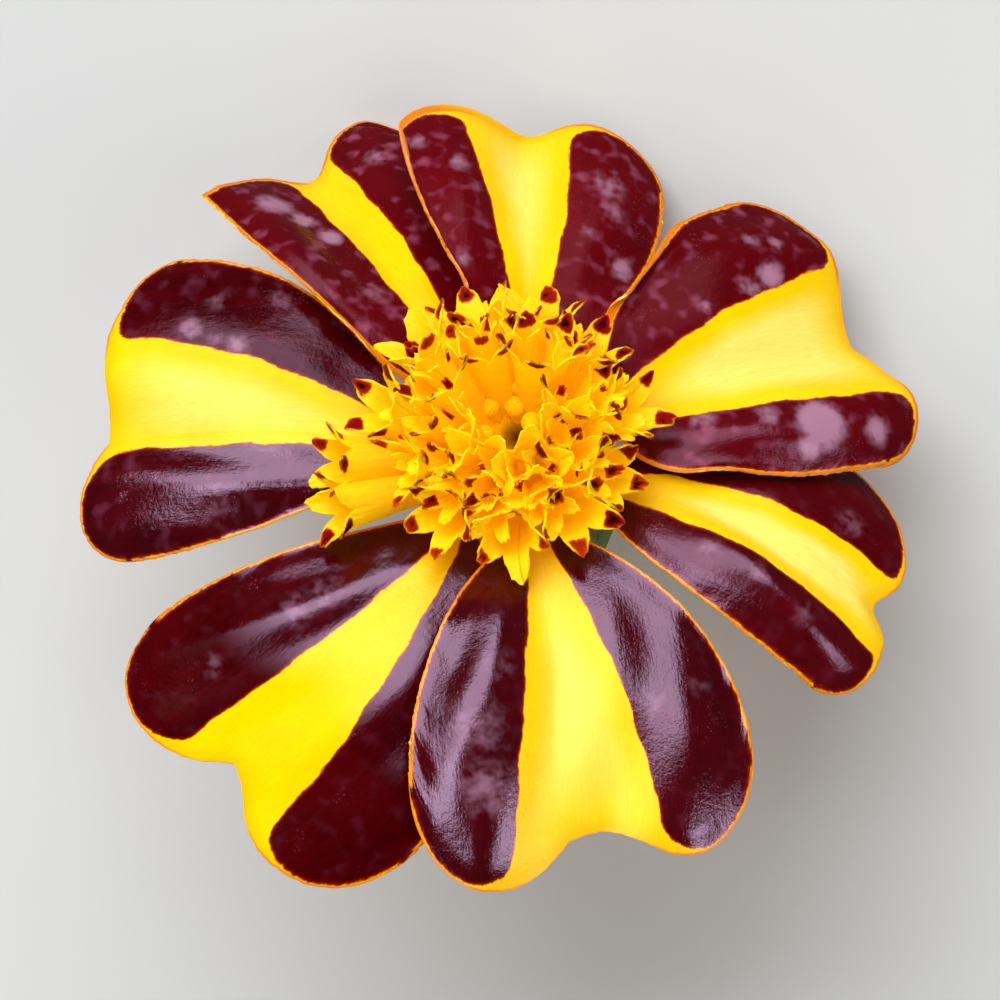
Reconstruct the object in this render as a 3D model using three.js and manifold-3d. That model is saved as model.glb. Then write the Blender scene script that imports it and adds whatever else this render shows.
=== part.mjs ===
// Single French marigold head, picked with a short stub of stem and laid on a surface.
// It leans on the cut end of its stem and on the tips of two of its ray florets, face up and forward.
// Units are millimetres and degrees, with +Z up.
// Each piece is shaped in the flower's own frame: the origin is the middle of the whorl of ray florets,
// +Z is the flower's axis, and azimuths run counter-clockwise from +X, seen from the face.

import * as THREE from 'three';
import { mergeVertices } from 'three/addons/utils/BufferGeometryUtils.js';
import Module from 'manifold-3d';

const wasm = await Module();
wasm.setup();

// Driving dimensions
const BLADE_THICKNESS = 0.6;
const CLEARANCE = 0.3;
const LAMINA_RADIUS = 5.2;
const LAMINA_HEIGHT = 0.6;
const LAMINA_BASE_HALF_WIDTH = 1.3;
const CLAW_RADIUS = 3.7;
const CLAW_HALF_WIDTH = 0.8;
const CLAW_FOOT_HALF_WIDTH = 0.6;
const CLAW_FOOT = new THREE.Vector2(3.05, -9.6);
const CLAW_KNEE = new THREE.Vector2(CLAW_RADIUS, -6.2);
const CLAW_TOP_HEIGHT = -2.2;
const CORE_RADIUS = CLAW_RADIUS - BLADE_THICKNESS / 2 - CLEARANCE;
const INVOLUCRE_BORE = CLAW_RADIUS + BLADE_THICKNESS / 2 + CLEARANCE + 0.15;
const INVOLUCRE_WALL = 0.75;
const INVOLUCRE_BASE = -13.2;
const INVOLUCRE_RIM = -2.1;
const TOOTH_HEIGHT = 1.0;
const BRACTS = 8;
const STEM_RADIUS = 1.5;
const STEM_END = -19;
const NECK_RADIUS = 2.1;

// How the picked head rests: the azimuth of the rim that goes down, how far the axis leans, and where
// the middle of the whorl then lies. The origin is the middle of its footprint on the surface.
const REST_TOWARD = 71.6;
const REST_LEAN = 42.5;
const REST_AT = new THREE.Vector3(-0.72, -2.21, 14.9);

const rad = THREE.MathUtils.degToRad;
const { clamp, lerp } = THREE.MathUtils;
const smooth = (from, to, x) => THREE.MathUtils.smoothstep(x, from, to);

// A repeatable draw between -1 and 1 for item i and purpose k
function draw(i, k) {
  const wave = Math.sin(i * 12.9898 + k * 78.233) * 43758.5453;
  return 2 * (wave - Math.floor(wave)) - 1;
}

// Ray florets. Sides are named as seen from the flower's middle, looking outward.
// rise and droop: pitch of the midline at its start and end. bend: sideways turn of the midline.
// left and right: how much of half the width each side has. lobe: how far each side runs past the middle.
// shoulder: how long the edge is against the middle. flare: below 1 it widens early.
// ride: how far a side lies over (+) or under (-) its neighbour. curl: a turned-up edge, and where it starts.
const RAY_SHAPE = {
  notchAt: 0, notchWidth: 0.25, rise: 9, droop: -27, roll: 0, bend: 0, left: 1, right: 1,
  lobeLeft: 0.1, lobeRight: 0.1, shoulder: 0.66, flare: 0.8, lift: 0,
  rideLeft: 0, rideRight: 0, curlLeft: 0, curlStart: 0.5,
};
const HUMP = 0.8;
const EDGE_DROP = 0.8;
const RAYS = [
  { ...RAY_SHAPE, azimuth: 174, length: 17.7, width: 17.0, notch: 0.4, notchAt: -0.2, rise: 11,
    droop: -25, roll: -12, bend: 3, left: 0.8, right: 1.18, lobeLeft: 0.2, lobeRight: 0,
    shoulder: 0.76, flare: 1.0, rideRight: -0.5 },
  { ...RAY_SHAPE, azimuth: 121, length: 18.3, width: 15.5, notch: 1.0, notchWidth: 0.2, droop: -27,
    roll: 4, bend: 3, left: 0.86, right: 1.05, lobeRight: 0.14, shoulder: 0.87, flare: 0.95,
    curlLeft: 2.2, curlStart: 0.35, rideLeft: 0.5, rideRight: -0.7 },
  { ...RAY_SHAPE, azimuth: 87, length: 15.2, width: 15.6, notch: 0.3, notchAt: -0.1, rise: 9,
    droop: -14, roll: 10, bend: 9, lobeLeft: 0.18, lobeRight: 0.04, shoulder: 0.74, flare: 0.9,
    lift: 0.9, rideLeft: 0.8 },
  { ...RAY_SHAPE, azimuth: 22, length: 16.2, width: 17.2, notch: 0.6, notchAt: 0.1, rise: 7,
    droop: -32, roll: 4, bend: 4, left: 1.2, right: 0.75, lobeLeft: 0.12, lobeRight: 0.17,
    shoulder: 0.84, flare: 0.65, lift: 1.0, rideLeft: 0.6, rideRight: 0.5 },
  { ...RAY_SHAPE, azimuth: -20, length: 16.9, width: 13.6, notch: 1.0, notchAt: 0.05, notchWidth: 0.16,
    rise: 13, droop: -34, roll: -9, bend: -16, left: 1.1, right: 0.82, lobeLeft: -0.08,
    lobeRight: 0.19, shoulder: 0.68, flare: 0.65, rideLeft: -0.8 },
  { ...RAY_SHAPE, azimuth: -81, length: 18.9, width: 18.4, notch: 2.3, notchAt: 0.2, notchWidth: 0.34,
    rise: 8, roll: -4, bend: -8, left: 1.08, right: 0.9, lobeLeft: 0.07, lobeRight: 0.15,
    shoulder: 0.63, flare: 0.82, lift: 0.7, rideRight: 1.0 },
  { ...RAY_SHAPE, azimuth: -126, length: 19.1, width: 18.2, notch: 1.0, notchAt: 0.05, notchWidth: 0.2,
    rise: 8, droop: -19, roll: -2, bend: -16, left: 1.08, right: 1.04, lobeLeft: 0.15, lobeRight: 0.2,
    flare: 0.95, rideLeft: -0.8 },
];

// Solids

function solidOf(geometry) {
  const bare = new THREE.BufferGeometry();
  bare.setAttribute('position', geometry.getAttribute('position'));
  bare.setIndex(geometry.getIndex());
  const merged = mergeVertices(bare, 1e-4);
  return new wasm.Manifold(new wasm.Mesh({
    numProp: 3,
    vertProperties: Float32Array.from(merged.getAttribute('position').array),
    triVerts: Uint32Array.from(merged.getIndex().array),
  }));
}

function geometryOf(solid) {
  const mesh = solid.getMesh();
  const geometry = new THREE.BufferGeometry();
  geometry.setAttribute('position', new THREE.BufferAttribute(mesh.vertProperties, 3));
  geometry.setIndex(new THREE.BufferAttribute(mesh.triVerts, 1));
  return geometry;
}

function indexed(points, faces) {
  const geometry = new THREE.BufferGeometry();
  geometry.setFromPoints(points);
  geometry.setIndex(faces.flat());
  return geometry;
}

// A profile of [radius, height] points turned round the axis. It runs up the outside; it ends on the
// axis at both ends, or else closes on itself, up the outside and down the bore.
// place(radius, height, angle, row) gives the radius and height there.
function turned(profile, sides, place = (radius, height) => [radius, height]) {
  const onAxis = profile[0][0] === 0;
  const points = [];
  const rows = profile.map(([radius, height], row) => {
    if (radius === 0) {
      points.push(new THREE.Vector3(0, 0, height));
      return Array(sides).fill(points.length - 1);
    }
    return Array.from({ length: sides }, (_, side) => {
      const angle = 2 * Math.PI * side / sides;
      const [r, z] = place(radius, height, angle, row);
      points.push(new THREE.Vector3(r * Math.cos(angle), r * Math.sin(angle), z));
      return points.length - 1;
    });
  });
  const faces = [];
  const bands = onAxis ? rows.length - 1 : rows.length;
  for (let band = 0; band < bands; band++) {
    const low = rows[band];
    const high = rows[(band + 1) % rows.length];
    for (let side = 0; side < sides; side++) {
      const next = (side + 1) % sides;
      if (low[side] !== low[next]) faces.push([low[side], low[next], high[next]]);
      if (high[side] !== high[next]) faces.push([low[side], high[next], high[side]]);
    }
  }
  return indexed(points, faces);
}

// Ray floret: a claw down in the involucre and a broad lamina with a notched tip

function spine(ray, s) {
  const steps = 40;
  const heading = (at) => {
    const reach = at / ray.length;
    return {
      pitch: rad(ray.rise + (ray.droop - ray.rise) * clamp(reach, 0, 1.2)),
      turn: rad(ray.azimuth + ray.bend * Math.abs(reach) ** 1.5),
    };
  };
  const azimuth = rad(ray.azimuth);
  const point = new THREE.Vector3(
    Math.cos(azimuth) * LAMINA_RADIUS, Math.sin(azimuth) * LAMINA_RADIUS, LAMINA_HEIGHT + ray.lift);
  for (let step = 0; step < steps; step++) {
    const { pitch, turn } = heading(s * (step + 0.5) / steps);
    point.x += Math.cos(pitch) * Math.cos(turn) * s / steps;
    point.y += Math.cos(pitch) * Math.sin(turn) * s / steps;
    point.z += Math.sin(pitch) * s / steps;
  }
  const { pitch, turn } = heading(s);
  const leftward = new THREE.Vector3(-Math.sin(turn), Math.cos(turn), 0);
  const upward = new THREE.Vector3(
    -Math.sin(pitch) * Math.cos(turn), -Math.sin(pitch) * Math.sin(turn), Math.cos(pitch));
  const roll = rad(ray.roll * smooth(0, 0.5, s / ray.length));
  return {
    point,
    across: leftward.clone().multiplyScalar(Math.cos(roll)).addScaledVector(upward, Math.sin(roll)),
    up: upward.clone().multiplyScalar(Math.cos(roll)).addScaledVector(leftward, -Math.sin(roll)),
  };
}

// Point of the lamina: u runs from the base (0) to the tip (1), v from the right edge (-1) to the left (1)
function lamina(ray, u, v) {
  const a = Math.min(Math.abs(v), 1);
  const left = v > 0;
  const roundTip = ray.shoulder + (1 - ray.shoulder) * Math.sqrt(Math.max(1 - a ** 2.4, 0));
  const lobe = 1 + (left ? ray.lobeLeft : ray.lobeRight) * a;
  const notch = ray.notch / ray.length * Math.exp(-(((v - ray.notchAt) / ray.notchWidth) ** 2));
  const s = u * ray.length * (roundTip * lobe - notch);
  const sideWidth = ray.width / 2 * (left ? ray.left : ray.right);
  const spread = Math.sin(Math.PI / 2 * Math.max(u, 0) ** ray.flare);
  const t = v * lerp(LAMINA_BASE_HALF_WIDTH, sideWidth, spread);
  const reach = s / ray.length;
  const grown = smooth(0.05, 0.6, reach);
  const curl = left ? ray.curlLeft * smooth(ray.curlStart, 1, a) : 0;
  const ride = (left ? ray.rideLeft : ray.rideRight) * smooth(0, 0.3, reach) * smooth(0, 0.8, a);
  const height = grown * (HUMP * Math.sin(Math.PI * a) - EDGE_DROP * a ** 3 + curl) + ride;
  const { point, across, up } = spine(ray, s);
  return point.addScaledVector(across, t).addScaledVector(up, height);
}

function laminaRow(ray, u, count) {
  return Array.from({ length: count }, (_, column) => {
    const even = 2 * column / (count - 1) - 1;
    const v = lerp(even, Math.sin(even * Math.PI / 2), 0.45);
    const step = 0.01;
    const along = lamina(ray, u + step, v).sub(lamina(ray, Math.max(u - step, 0), v));
    const aside = lamina(ray, u, Math.min(v + step, 1)).sub(lamina(ray, u, Math.max(v - step, -1)));
    return { point: lamina(ray, u, v), normal: along.cross(aside).normalize() };
  });
}

// The claw's path in the half plane of its azimuth: foot, knee, then a bend out over the involucre's rim
function clawPath(ray) {
  const top = new THREE.Vector2(LAMINA_RADIUS, LAMINA_HEIGHT + ray.lift);
  const lean = (LAMINA_RADIUS - CLAW_RADIUS) * Math.tan(rad(ray.rise));
  const bend = new THREE.QuadraticBezierCurve(
    new THREE.Vector2(CLAW_RADIUS, CLAW_TOP_HEIGHT),
    new THREE.Vector2(CLAW_RADIUS, top.y - lean),
    top);
  const footWay = CLAW_KNEE.clone().sub(CLAW_FOOT).normalize();
  const upright = new THREE.Vector2(0, 1);
  const width = (at) =>
    lerp(CLAW_HALF_WIDTH, LAMINA_BASE_HALF_WIDTH, smooth(CLAW_RADIUS, LAMINA_RADIUS, at.x));
  return [
    { at: CLAW_FOOT, way: footWay, halfWidth: CLAW_FOOT_HALF_WIDTH },
    { at: CLAW_KNEE, way: footWay.clone().add(upright).normalize(), halfWidth: CLAW_HALF_WIDTH },
    ...[0, 0.3, 0.55, 0.8].map((t) => {
      const at = bend.getPoint(t);
      return { at, way: bend.getTangent(t), halfWidth: width(at) };
    }),
  ];
}

function clawRow(ray, { at, way, halfWidth }) {
  const azimuth = rad(ray.azimuth);
  const outward = new THREE.Vector3(Math.cos(azimuth), Math.sin(azimuth), 0);
  const leftward = new THREE.Vector3(-Math.sin(azimuth), Math.cos(azimuth), 0);
  const normal = outward.clone().multiplyScalar(-way.y).setZ(way.x).normalize();
  return [-1, 0, 1].map((v) => ({
    point: outward.clone().multiplyScalar(at.x).setZ(at.y).addScaledVector(leftward, v * halfWidth),
    normal,
  }));
}

// A blade of even thickness through rows of points: both faces are split into triangles alike
function blade(rows) {
  const points = [];
  const half = BLADE_THICKNESS / 2;
  const placed = rows.map((row) => row.map(({ point, normal }) => {
    points.push(point.clone().addScaledVector(normal, half));
    points.push(point.clone().addScaledVector(normal, -half));
    return points.length - 2;
  }));
  const faces = [];
  const both = (a, b, c) => faces.push([a, b, c], [c + 1, b + 1, a + 1]);
  const wall = (a, b) => faces.push([a, a + 1, b + 1], [a, b + 1, b]);
  for (let band = 0; band + 1 < placed.length; band++) {
    const near = placed[band];
    const far = placed[band + 1];
    let i = 0;
    let j = 0;
    while (i < near.length - 1 || j < far.length - 1) {
      const nearNext = (i + 1) / (near.length - 1);
      const farNext = (j + 1) / (far.length - 1);
      const stepFar = j < far.length - 1 && (i === near.length - 1 || farNext <= nearNext + 1e-9);
      if (stepFar) {
        both(near[i], far[j], far[j + 1]);
        j++;
      } else {
        both(near[i], far[j], near[i + 1]);
        i++;
      }
    }
    wall(near[0], far[0]);
    wall(far.at(-1), near.at(-1));
  }
  const first = placed[0];
  const last = placed.at(-1);
  for (let i = 0; i + 1 < first.length; i++) wall(first[i + 1], first[i]);
  for (let i = 0; i + 1 < last.length; i++) wall(last[i], last[i + 1]);
  return indexed(points, faces);
}

function rayFloret(ray) {
  const laminaSteps = 11;
  const laminaRows = Array.from({ length: laminaSteps + 1 }, (_, row) => {
    const count = Math.min(3 + 2 * row, 15);
    return laminaRow(ray, row / laminaSteps, count);
  });
  return blade([...clawPath(ray).map((step) => clawRow(ray, step)), ...laminaRows]);
}

// Disc florets: open five-lobed trumpets in two rings round a hollow with small buds in it

const LOBES = 5;

function along(foot, mouth) {
  const way = mouth.clone().sub(foot);
  const turn = new THREE.Quaternion().setFromUnitVectors(new THREE.Vector3(0, 0, 1), way.clone().normalize());
  return { length: way.length(), turn };
}

function trumpet({ foot, mouth, size, spin }) {
  const { length, turn } = along(foot, mouth);
  // Each ring: radius and height at a notch, then at a lobe
  const rings = [
    [[0.5, 0], [0.5, 0]],
    [[0.7 * size, 0.45 * length], [0.7 * size, 0.45 * length]],
    [[1.15 * size, 0.78 * length], [1.2 * size, 0.78 * length]],
    [[1.4 * size, length], [2.0 * size, length + 1.05 * size]],
    [[0.95 * size, length + 0.1], [1.5 * size, length + 1.05 * size + 0.3]],
    [[0.55 * size, length - 0.8], [0.55 * size, length - 0.8]],
  ];
  const ends = [0, length - 1.1];
  const profile = [[0, ends[0]], ...rings.map(([notch]) => notch), [0, ends[1]]];
  const place = (radius, height, angle, row) => {
    const onLobe = Math.round(angle / Math.PI * LOBES) % 2;
    return rings[row - 1][onLobe];
  };
  const geometry = turned(profile, 2 * LOBES, place);
  return geometry.rotateZ(spin).applyQuaternion(turn).translate(foot.x, foot.y, foot.z);
}

function bud({ foot, mouth }) {
  const { length, turn } = along(foot, mouth);
  const profile = [[0, 0], [0.45, 0], [0.5, 0.75 * length], [0.38, 0.94 * length], [0, length]];
  return turned(profile, 8).applyQuaternion(turn).translate(foot.x, foot.y, foot.z);
}

const onCircle = (radius, azimuth, height) =>
  new THREE.Vector3(radius * Math.cos(rad(azimuth)), radius * Math.sin(rad(azimuth)), height);

// A ring of florets: how many, the azimuth of the first, and where foot and mouth lie
const OUTER_RING = { count: 11, first: 8, foot: [2.2, 0.8], mouth: [6.3, 4.6], size: 1.0, key: 1 };
const INNER_RING = { count: 8, first: 20, foot: [1.6, 1.5], mouth: [3.9, 6.0], size: 0.92, key: 2 };
const BUD_RING = { count: 6, first: 30, foot: [1.0, 1.5], mouth: [1.35, 4.1], size: 1, key: 3 };
const CROWN_SHIFT = -0.6;
const CROWN_SLOPE = 0.6;

function ring({ count, first, foot, mouth, size, key }) {
  return Array.from({ length: count }, (_, i) => {
    const azimuth = first + 360 * i / count + 4 * draw(i, key);
    const radius = mouth[0] + 0.35 * draw(i, key + 10);
    const height = mouth[1] + 0.35 * draw(i, key + 20) + CROWN_SLOPE * Math.sin(rad(azimuth));
    return {
      foot: onCircle(foot[0], azimuth, foot[1]),
      mouth: onCircle(radius, azimuth, height).add(new THREE.Vector3(CROWN_SHIFT, 0, 0)),
      size: size * (1 + 0.08 * draw(i, key + 30)),
      spin: Math.PI * draw(i, key + 40),
    };
  });
}

// Two long outer florets lie far out, over the gap between two ray florets
const FAR_FLORETS = [
  { foot: new THREE.Vector3(-2.2, -0.4, 1.0), mouth: new THREE.Vector3(-9.6, -2.4, 4.4), size: 0.9, spin: 0.3 },
  { foot: new THREE.Vector3(-2.0, -1.2, 1.0), mouth: new THREE.Vector3(-9.6, -4.6, 3.6), size: 0.9, spin: 0.9 },
];

function discFlorets() {
  const core = turned([
    [0, -10.6], [1.9, -10.6], [2.35, -9.4], [CORE_RADIUS - 0.1, -6.8], [CORE_RADIUS, -5.5],
    [CORE_RADIUS, 2.0], [4.3, 3.8], [3.6, 4.6], [1.7, 2.9], [0, 2.5],
  ], 20);
  const trumpets = [...ring(OUTER_RING), ...ring(INNER_RING), ...FAR_FLORETS].map(trumpet);
  const buds = ring(BUD_RING).map(bud);
  return geometryOf([...trumpets, ...buds].map(solidOf).reduce((all, one) => all.add(one), solidOf(core)));
}

// Involucre: a sleeve of bracts grown together edge to edge, with a tooth at the tip of each

function involucre() {
  const sides = BRACTS * 6;
  const outerTop = INVOLUCRE_BORE + INVOLUCRE_WALL;
  const profile = [
    [2.95, INVOLUCRE_BASE], [3.9, INVOLUCRE_BASE + 1.5], [4.6, INVOLUCRE_BASE + 3.6],
    [outerTop - 0.1, -6.2], [outerTop, -3.6], [outerTop, INVOLUCRE_RIM],
    [INVOLUCRE_BORE, INVOLUCRE_RIM], [INVOLUCRE_BORE, -3.6], [INVOLUCRE_BORE, -6.2],
    [3.95, -9.1], [3.2, -11.1], [2.7, -12.1], [NECK_RADIUS + CLEARANCE + 0.05, INVOLUCRE_BASE + 0.5],
  ];
  const rimRows = [5, 6];
  const outsideRows = 6;
  return turned(profile, sides, (radius, height, angle, row) => {
    const bract = Math.cos(BRACTS * angle);
    const ridged = row < outsideRows ? radius * (1 + 0.025 * bract) : radius;
    const tooth = rimRows.includes(row) ? TOOTH_HEIGHT * Math.max(bract, 0) : 0;
    return [ridged, height + tooth];
  });
}

// Stem: the cut stub, its swollen neck and the receptacle that it ends in, grown as one

function stem() {
  const profile = [
    [0, STEM_END], [STEM_RADIUS, STEM_END], [STEM_RADIUS, STEM_END + 2.2], [STEM_RADIUS + 0.2, -15.2],
    [NECK_RADIUS, -13.9], [NECK_RADIUS, -12.4], [NECK_RADIUS - 0.1, -11.6], [1.4, -11.1], [0, -10.95],
  ];
  return turned(profile, 24, (radius, height, angle) => [radius * (1 + 0.03 * Math.cos(6 * angle)), height]);
}

// Materials

const paint = (name, color, roughness) =>
  new THREE.MeshStandardMaterial({ name, color, roughness, metalness: 0 });

// The flower, resting

const flower = new THREE.Group();
flower.rotation.set(rad(REST_LEAN), 0, rad(-90 - REST_TOWARD), 'XYZ');
flower.position.copy(REST_AT);
flower.updateMatrixWorld(true);

// What would reach below the surface is pressed flat there
const below = new THREE.BoxGeometry(200, 200, 40).translate(0, 0, -20)
  .applyMatrix4(flower.matrixWorld.clone().invert());
const belowSolid = solidOf(below);
const restOnSurface = (geometry) => geometryOf(solidOf(geometry).subtract(belowSolid));

function addPiece(name, geometry, material) {
  const mesh = new THREE.Mesh(geometry, material);
  mesh.name = name;
  flower.add(mesh);
}

addPiece('stem', restOnSurface(stem()), paint('stem_green', 0x7d9a4a, 0.6));
addPiece('involucre', involucre(), paint('involucre_green', 0x5f8438, 0.55));
RAYS.forEach((ray, index) => {
  addPiece(`ray_floret_${index + 1}`, restOnSurface(rayFloret(ray)), paint('ray_maroon', 0x5a0510, 0.35));
});
addPiece('disc_florets', discFlorets(), paint('disc_yellow', 0xffbe00, 0.6));

const part = new THREE.Group();
part.add(flower);

export default part;
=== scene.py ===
"""Looks for a single French marigold head that lies on a pale surface, face up and forward."""

import math

import bpy
import numpy as np
from mathutils import Matrix, Vector


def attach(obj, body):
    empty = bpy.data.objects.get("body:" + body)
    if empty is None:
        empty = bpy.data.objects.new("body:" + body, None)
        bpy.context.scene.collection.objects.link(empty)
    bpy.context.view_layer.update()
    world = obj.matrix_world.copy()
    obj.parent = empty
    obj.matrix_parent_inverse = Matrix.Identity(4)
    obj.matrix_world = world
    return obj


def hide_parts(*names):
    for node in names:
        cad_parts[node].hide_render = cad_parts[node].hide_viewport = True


bl_info = {
    "name": "French marigold head",
    "version": (1, 0, 0),
    "blender": (4, 5, 0),
    "location": "View3D > Sidebar > Marigold",
    "description": "Ray florets, disc florets, involucre and stem of a marigold head, with its stage",
    "category": "Add Mesh",
}

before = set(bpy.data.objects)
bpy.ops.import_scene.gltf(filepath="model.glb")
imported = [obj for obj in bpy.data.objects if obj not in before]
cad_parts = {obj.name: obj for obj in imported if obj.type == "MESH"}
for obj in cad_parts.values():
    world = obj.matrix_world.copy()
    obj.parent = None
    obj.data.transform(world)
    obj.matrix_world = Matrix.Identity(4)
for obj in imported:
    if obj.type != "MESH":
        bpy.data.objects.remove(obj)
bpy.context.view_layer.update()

# Shapes are worked out in millimetres in the flower's own frame, as in the part's source: the origin is
# the middle of the whorl of ray florets, +Z is the flower's axis and azimuths run counter-clockwise.
MM = 0.001
REST_TOWARD = 71.6
REST_LEAN = 42.5
REST_AT = np.array([-0.72, -2.21, 14.9])
TO_ROW = np.array(
    Matrix.Rotation(math.radians(REST_LEAN), 3, "X")
    @ Matrix.Rotation(math.radians(-90 - REST_TOWARD), 3, "Z")
)

# A ray floret has a claw, which stands in the involucre, and a lamina. Its foot, knee and top are given by
# their distance from the axis and their height. The lamina has a hump on each side of a midline groove,
# and its edge drops.
LAMINA_RADIUS = 5.2
LAMINA_HEIGHT = 0.6
LAMINA_BASE_HALF_WIDTH = 1.3
CLAW_RADIUS = 3.7
CLAW_HALF_WIDTH = 0.8
CLAW_FOOT_HALF_WIDTH = 0.6
CLAW_FOOT = (3.05, -9.6)
CLAW_KNEE = (CLAW_RADIUS, -6.2)
CLAW_TOP_HEIGHT = -2.2
HUMP = 0.8
EDGE_DROP = 0.8
GROOVE = 0.16


def srgb(red, green, blue):
    """A screen colour, 0 to 255, as the linear values that Blender works with."""
    def linear(value):
        share = value / 255
        return share / 12.92 if share <= 0.04045 else ((share + 0.055) / 1.055) ** 2.4
    return tuple(linear(value) for value in (red, green, blue))


def colour_setting(name, description, *screen):
    """A colour of a settings group, given as a screen colour."""
    return bpy.props.FloatVectorProperty(
        name=name, description=description, default=srgb(*screen), size=3, min=0, max=1, subtype="COLOR")


def draw(item, purpose):
    """A repeatable draw between -1 and 1, the same as in the part's source."""
    wave = math.sin(item * 12.9898 + purpose * 78.233) * 43758.5453
    return 2 * (wave - math.floor(wave)) - 1


def smooth(start, end, x):
    share = np.clip((x - start) / (end - start), 0, 1)
    return share * share * (3 - 2 * share)


def mix(a, b, share):
    return a + (b - a) * share


def waves(x, seed, lengths):
    """A smooth wandering line between about -1 and 1, from a few sines of those wave lengths."""
    total = 0
    for number, length in enumerate(lengths):
        phase = math.pi * draw(seed, 50 + number)
        total = total + np.sin(2 * math.pi * x / length + phase) / len(lengths)
    return total


def resting(points, floor=None):
    """Points of the flower's frame as they lie in the row frame, in metres, none of them below floor mm."""
    placed = points @ TO_ROW.T + REST_AT
    if floor is not None:
        above = placed[..., 2] - floor
        placed[..., 2] = floor + 0.5 * (above + np.sqrt(above ** 2 + 0.1 ** 2))
    return placed * MM


# Pieces

def start_piece(name):
    """Names the object that an add operator has just made."""
    piece = bpy.context.object
    piece.name = name
    piece.data.name = name
    return piece


def tube(name, columns, rings, cap_foot=False, cap_mouth=False, closed=False):
    """An upright tube of rings one unit apart, which a formula then draws into shape.
    A cap is a fan to a middle point one unit further on. A closed tube joins its last ring to its first."""
    bpy.ops.object.select_all(action="DESELECT")
    bpy.ops.mesh.primitive_circle_add(vertices=columns, radius=1, fill_type="NOTHING")
    piece = start_piece(name)
    bpy.ops.object.mode_set(mode="EDIT")
    bpy.ops.mesh.select_all(action="SELECT")
    for _ in range(rings - 1):
        bpy.ops.mesh.extrude_region_move(TRANSFORM_OT_translate={"value": (0, 0, 1)})
    if cap_mouth:
        bpy.ops.mesh.extrude_region_move(TRANSFORM_OT_translate={"value": (0, 0, 1)})
        bpy.ops.mesh.merge(type="CENTER")
    if cap_foot:
        select_ring(piece, 0)
        bpy.ops.mesh.extrude_region_move(TRANSFORM_OT_translate={"value": (0, 0, -1)})
        bpy.ops.mesh.merge(type="CENTER")
    if closed:
        select_ring(piece, 0, rings - 1)
        bpy.ops.mesh.bridge_edge_loops()
    bpy.ops.mesh.select_all(action="SELECT")
    bpy.ops.object.mode_set(mode="OBJECT")
    return piece


def select_ring(piece, *heights):
    """Selects a tube's rings at those heights, in edit mode."""
    bpy.ops.mesh.select_all(action="DESELECT")
    bpy.ops.object.mode_set(mode="OBJECT")
    for edge in piece.data.edges:
        ends = [piece.data.vertices[i].co.z for i in edge.vertices]
        edge.select = any(all(abs(z - height) < 0.1 for z in ends) for height in heights)
    for vertex in piece.data.vertices:
        vertex.select = any(abs(vertex.co.z - height) < 0.1 for height in heights)
    bpy.ops.object.mode_set(mode="EDIT")


def coordinates(piece):
    flat = np.empty(len(piece.data.vertices) * 3)
    piece.data.vertices.foreach_get("co", flat)
    return flat.reshape(-1, 3)


def tube_places(piece):
    """For a plain tube's points: the angle round its axis, the ring, and whether a cap's middle."""
    plain = coordinates(piece)
    middle = np.hypot(plain[:, 0], plain[:, 1]) < 0.5
    return np.arctan2(plain[:, 1], plain[:, 0]), np.rint(plain[:, 2]).astype(int), middle


def round_axis(radius, angle, height):
    return np.stack([radius * np.cos(angle), radius * np.sin(angle), height], -1)


def move_points(piece, points):
    piece.data.vertices.foreach_set("co", np.asarray(points, float).ravel())
    piece.data.update()


def copy_of(model):
    """A copy with its own mesh."""
    piece = model.copy()
    piece.data = model.data.copy()
    bpy.context.collection.objects.link(piece)
    return piece


def note(piece, name, values):
    """Keeps a value or a vector for each point, which the piece's materials read."""
    values = np.asarray(values, np.float32)
    kind = "FLOAT" if values.ndim == 1 else "FLOAT_VECTOR"
    kept = piece.data.attributes.new(name, kind, "POINT")
    kept.data.foreach_set("value" if values.ndim == 1 else "vector", values.ravel())


def face_outward(piece):
    """Turns a closed shell's faces outward."""
    bpy.ops.object.select_all(action="DESELECT")
    piece.select_set(True)
    bpy.context.view_layer.objects.active = piece
    bpy.ops.object.mode_set(mode="EDIT")
    bpy.ops.mesh.select_all(action="SELECT")
    bpy.ops.mesh.normals_make_consistent(inside=False)
    bpy.ops.object.mode_set(mode="OBJECT")


def thicken(piece, thickness, offset, back=0, rim=0, thin_edge=None):
    """Gives a sheet its thickness. The back and the rim may have other materials."""
    bpy.context.view_layer.objects.active = piece
    wall = piece.modifiers.new("Thickness", "SOLIDIFY")
    wall.thickness = thickness
    wall.offset = offset
    wall.use_quality_normals = True
    wall.material_offset = back
    wall.material_offset_rim = rim
    if thin_edge is not None:
        group = piece.vertex_groups.new(name="blade")
        for index, weight in enumerate(thin_edge):
            group.add([index], float(weight), "REPLACE")
        wall.vertex_group = group.name
        wall.thickness_vertex_group = 0
    bpy.ops.object.modifier_apply(modifier=wall.name)


def join(pieces, name):
    """Joins pieces, each with its own mesh, into one of that name."""
    bpy.ops.object.select_all(action="DESELECT")
    for piece in pieces:
        piece.select_set(True)
    bpy.context.view_layer.objects.active = pieces[0]
    bpy.ops.object.join()
    return start_piece(name)


def finish_piece(piece, slot, *nodes, angle=50):
    """Shades a piece smooth up to that angle, ties it to the body and hides the nodes of the model that it
    stands for; slot is not used.
    """
    bpy.ops.object.select_all(action="DESELECT")
    piece.select_set(True)
    bpy.context.view_layer.objects.active = piece
    bpy.ops.object.shade_smooth_by_angle(angle=math.radians(angle))
    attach(piece, "root")
    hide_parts(*nodes)
    return piece


# Nodes

def fill(tree, inputs, values):
    """Fills a node's inputs in order: a socket is linked, and None is passed over."""
    for socket, value in zip(inputs, values):
        if isinstance(value, bpy.types.NodeSocket):
            tree.links.new(value, socket)
        elif value is not None:
            socket.default_value = value


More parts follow.
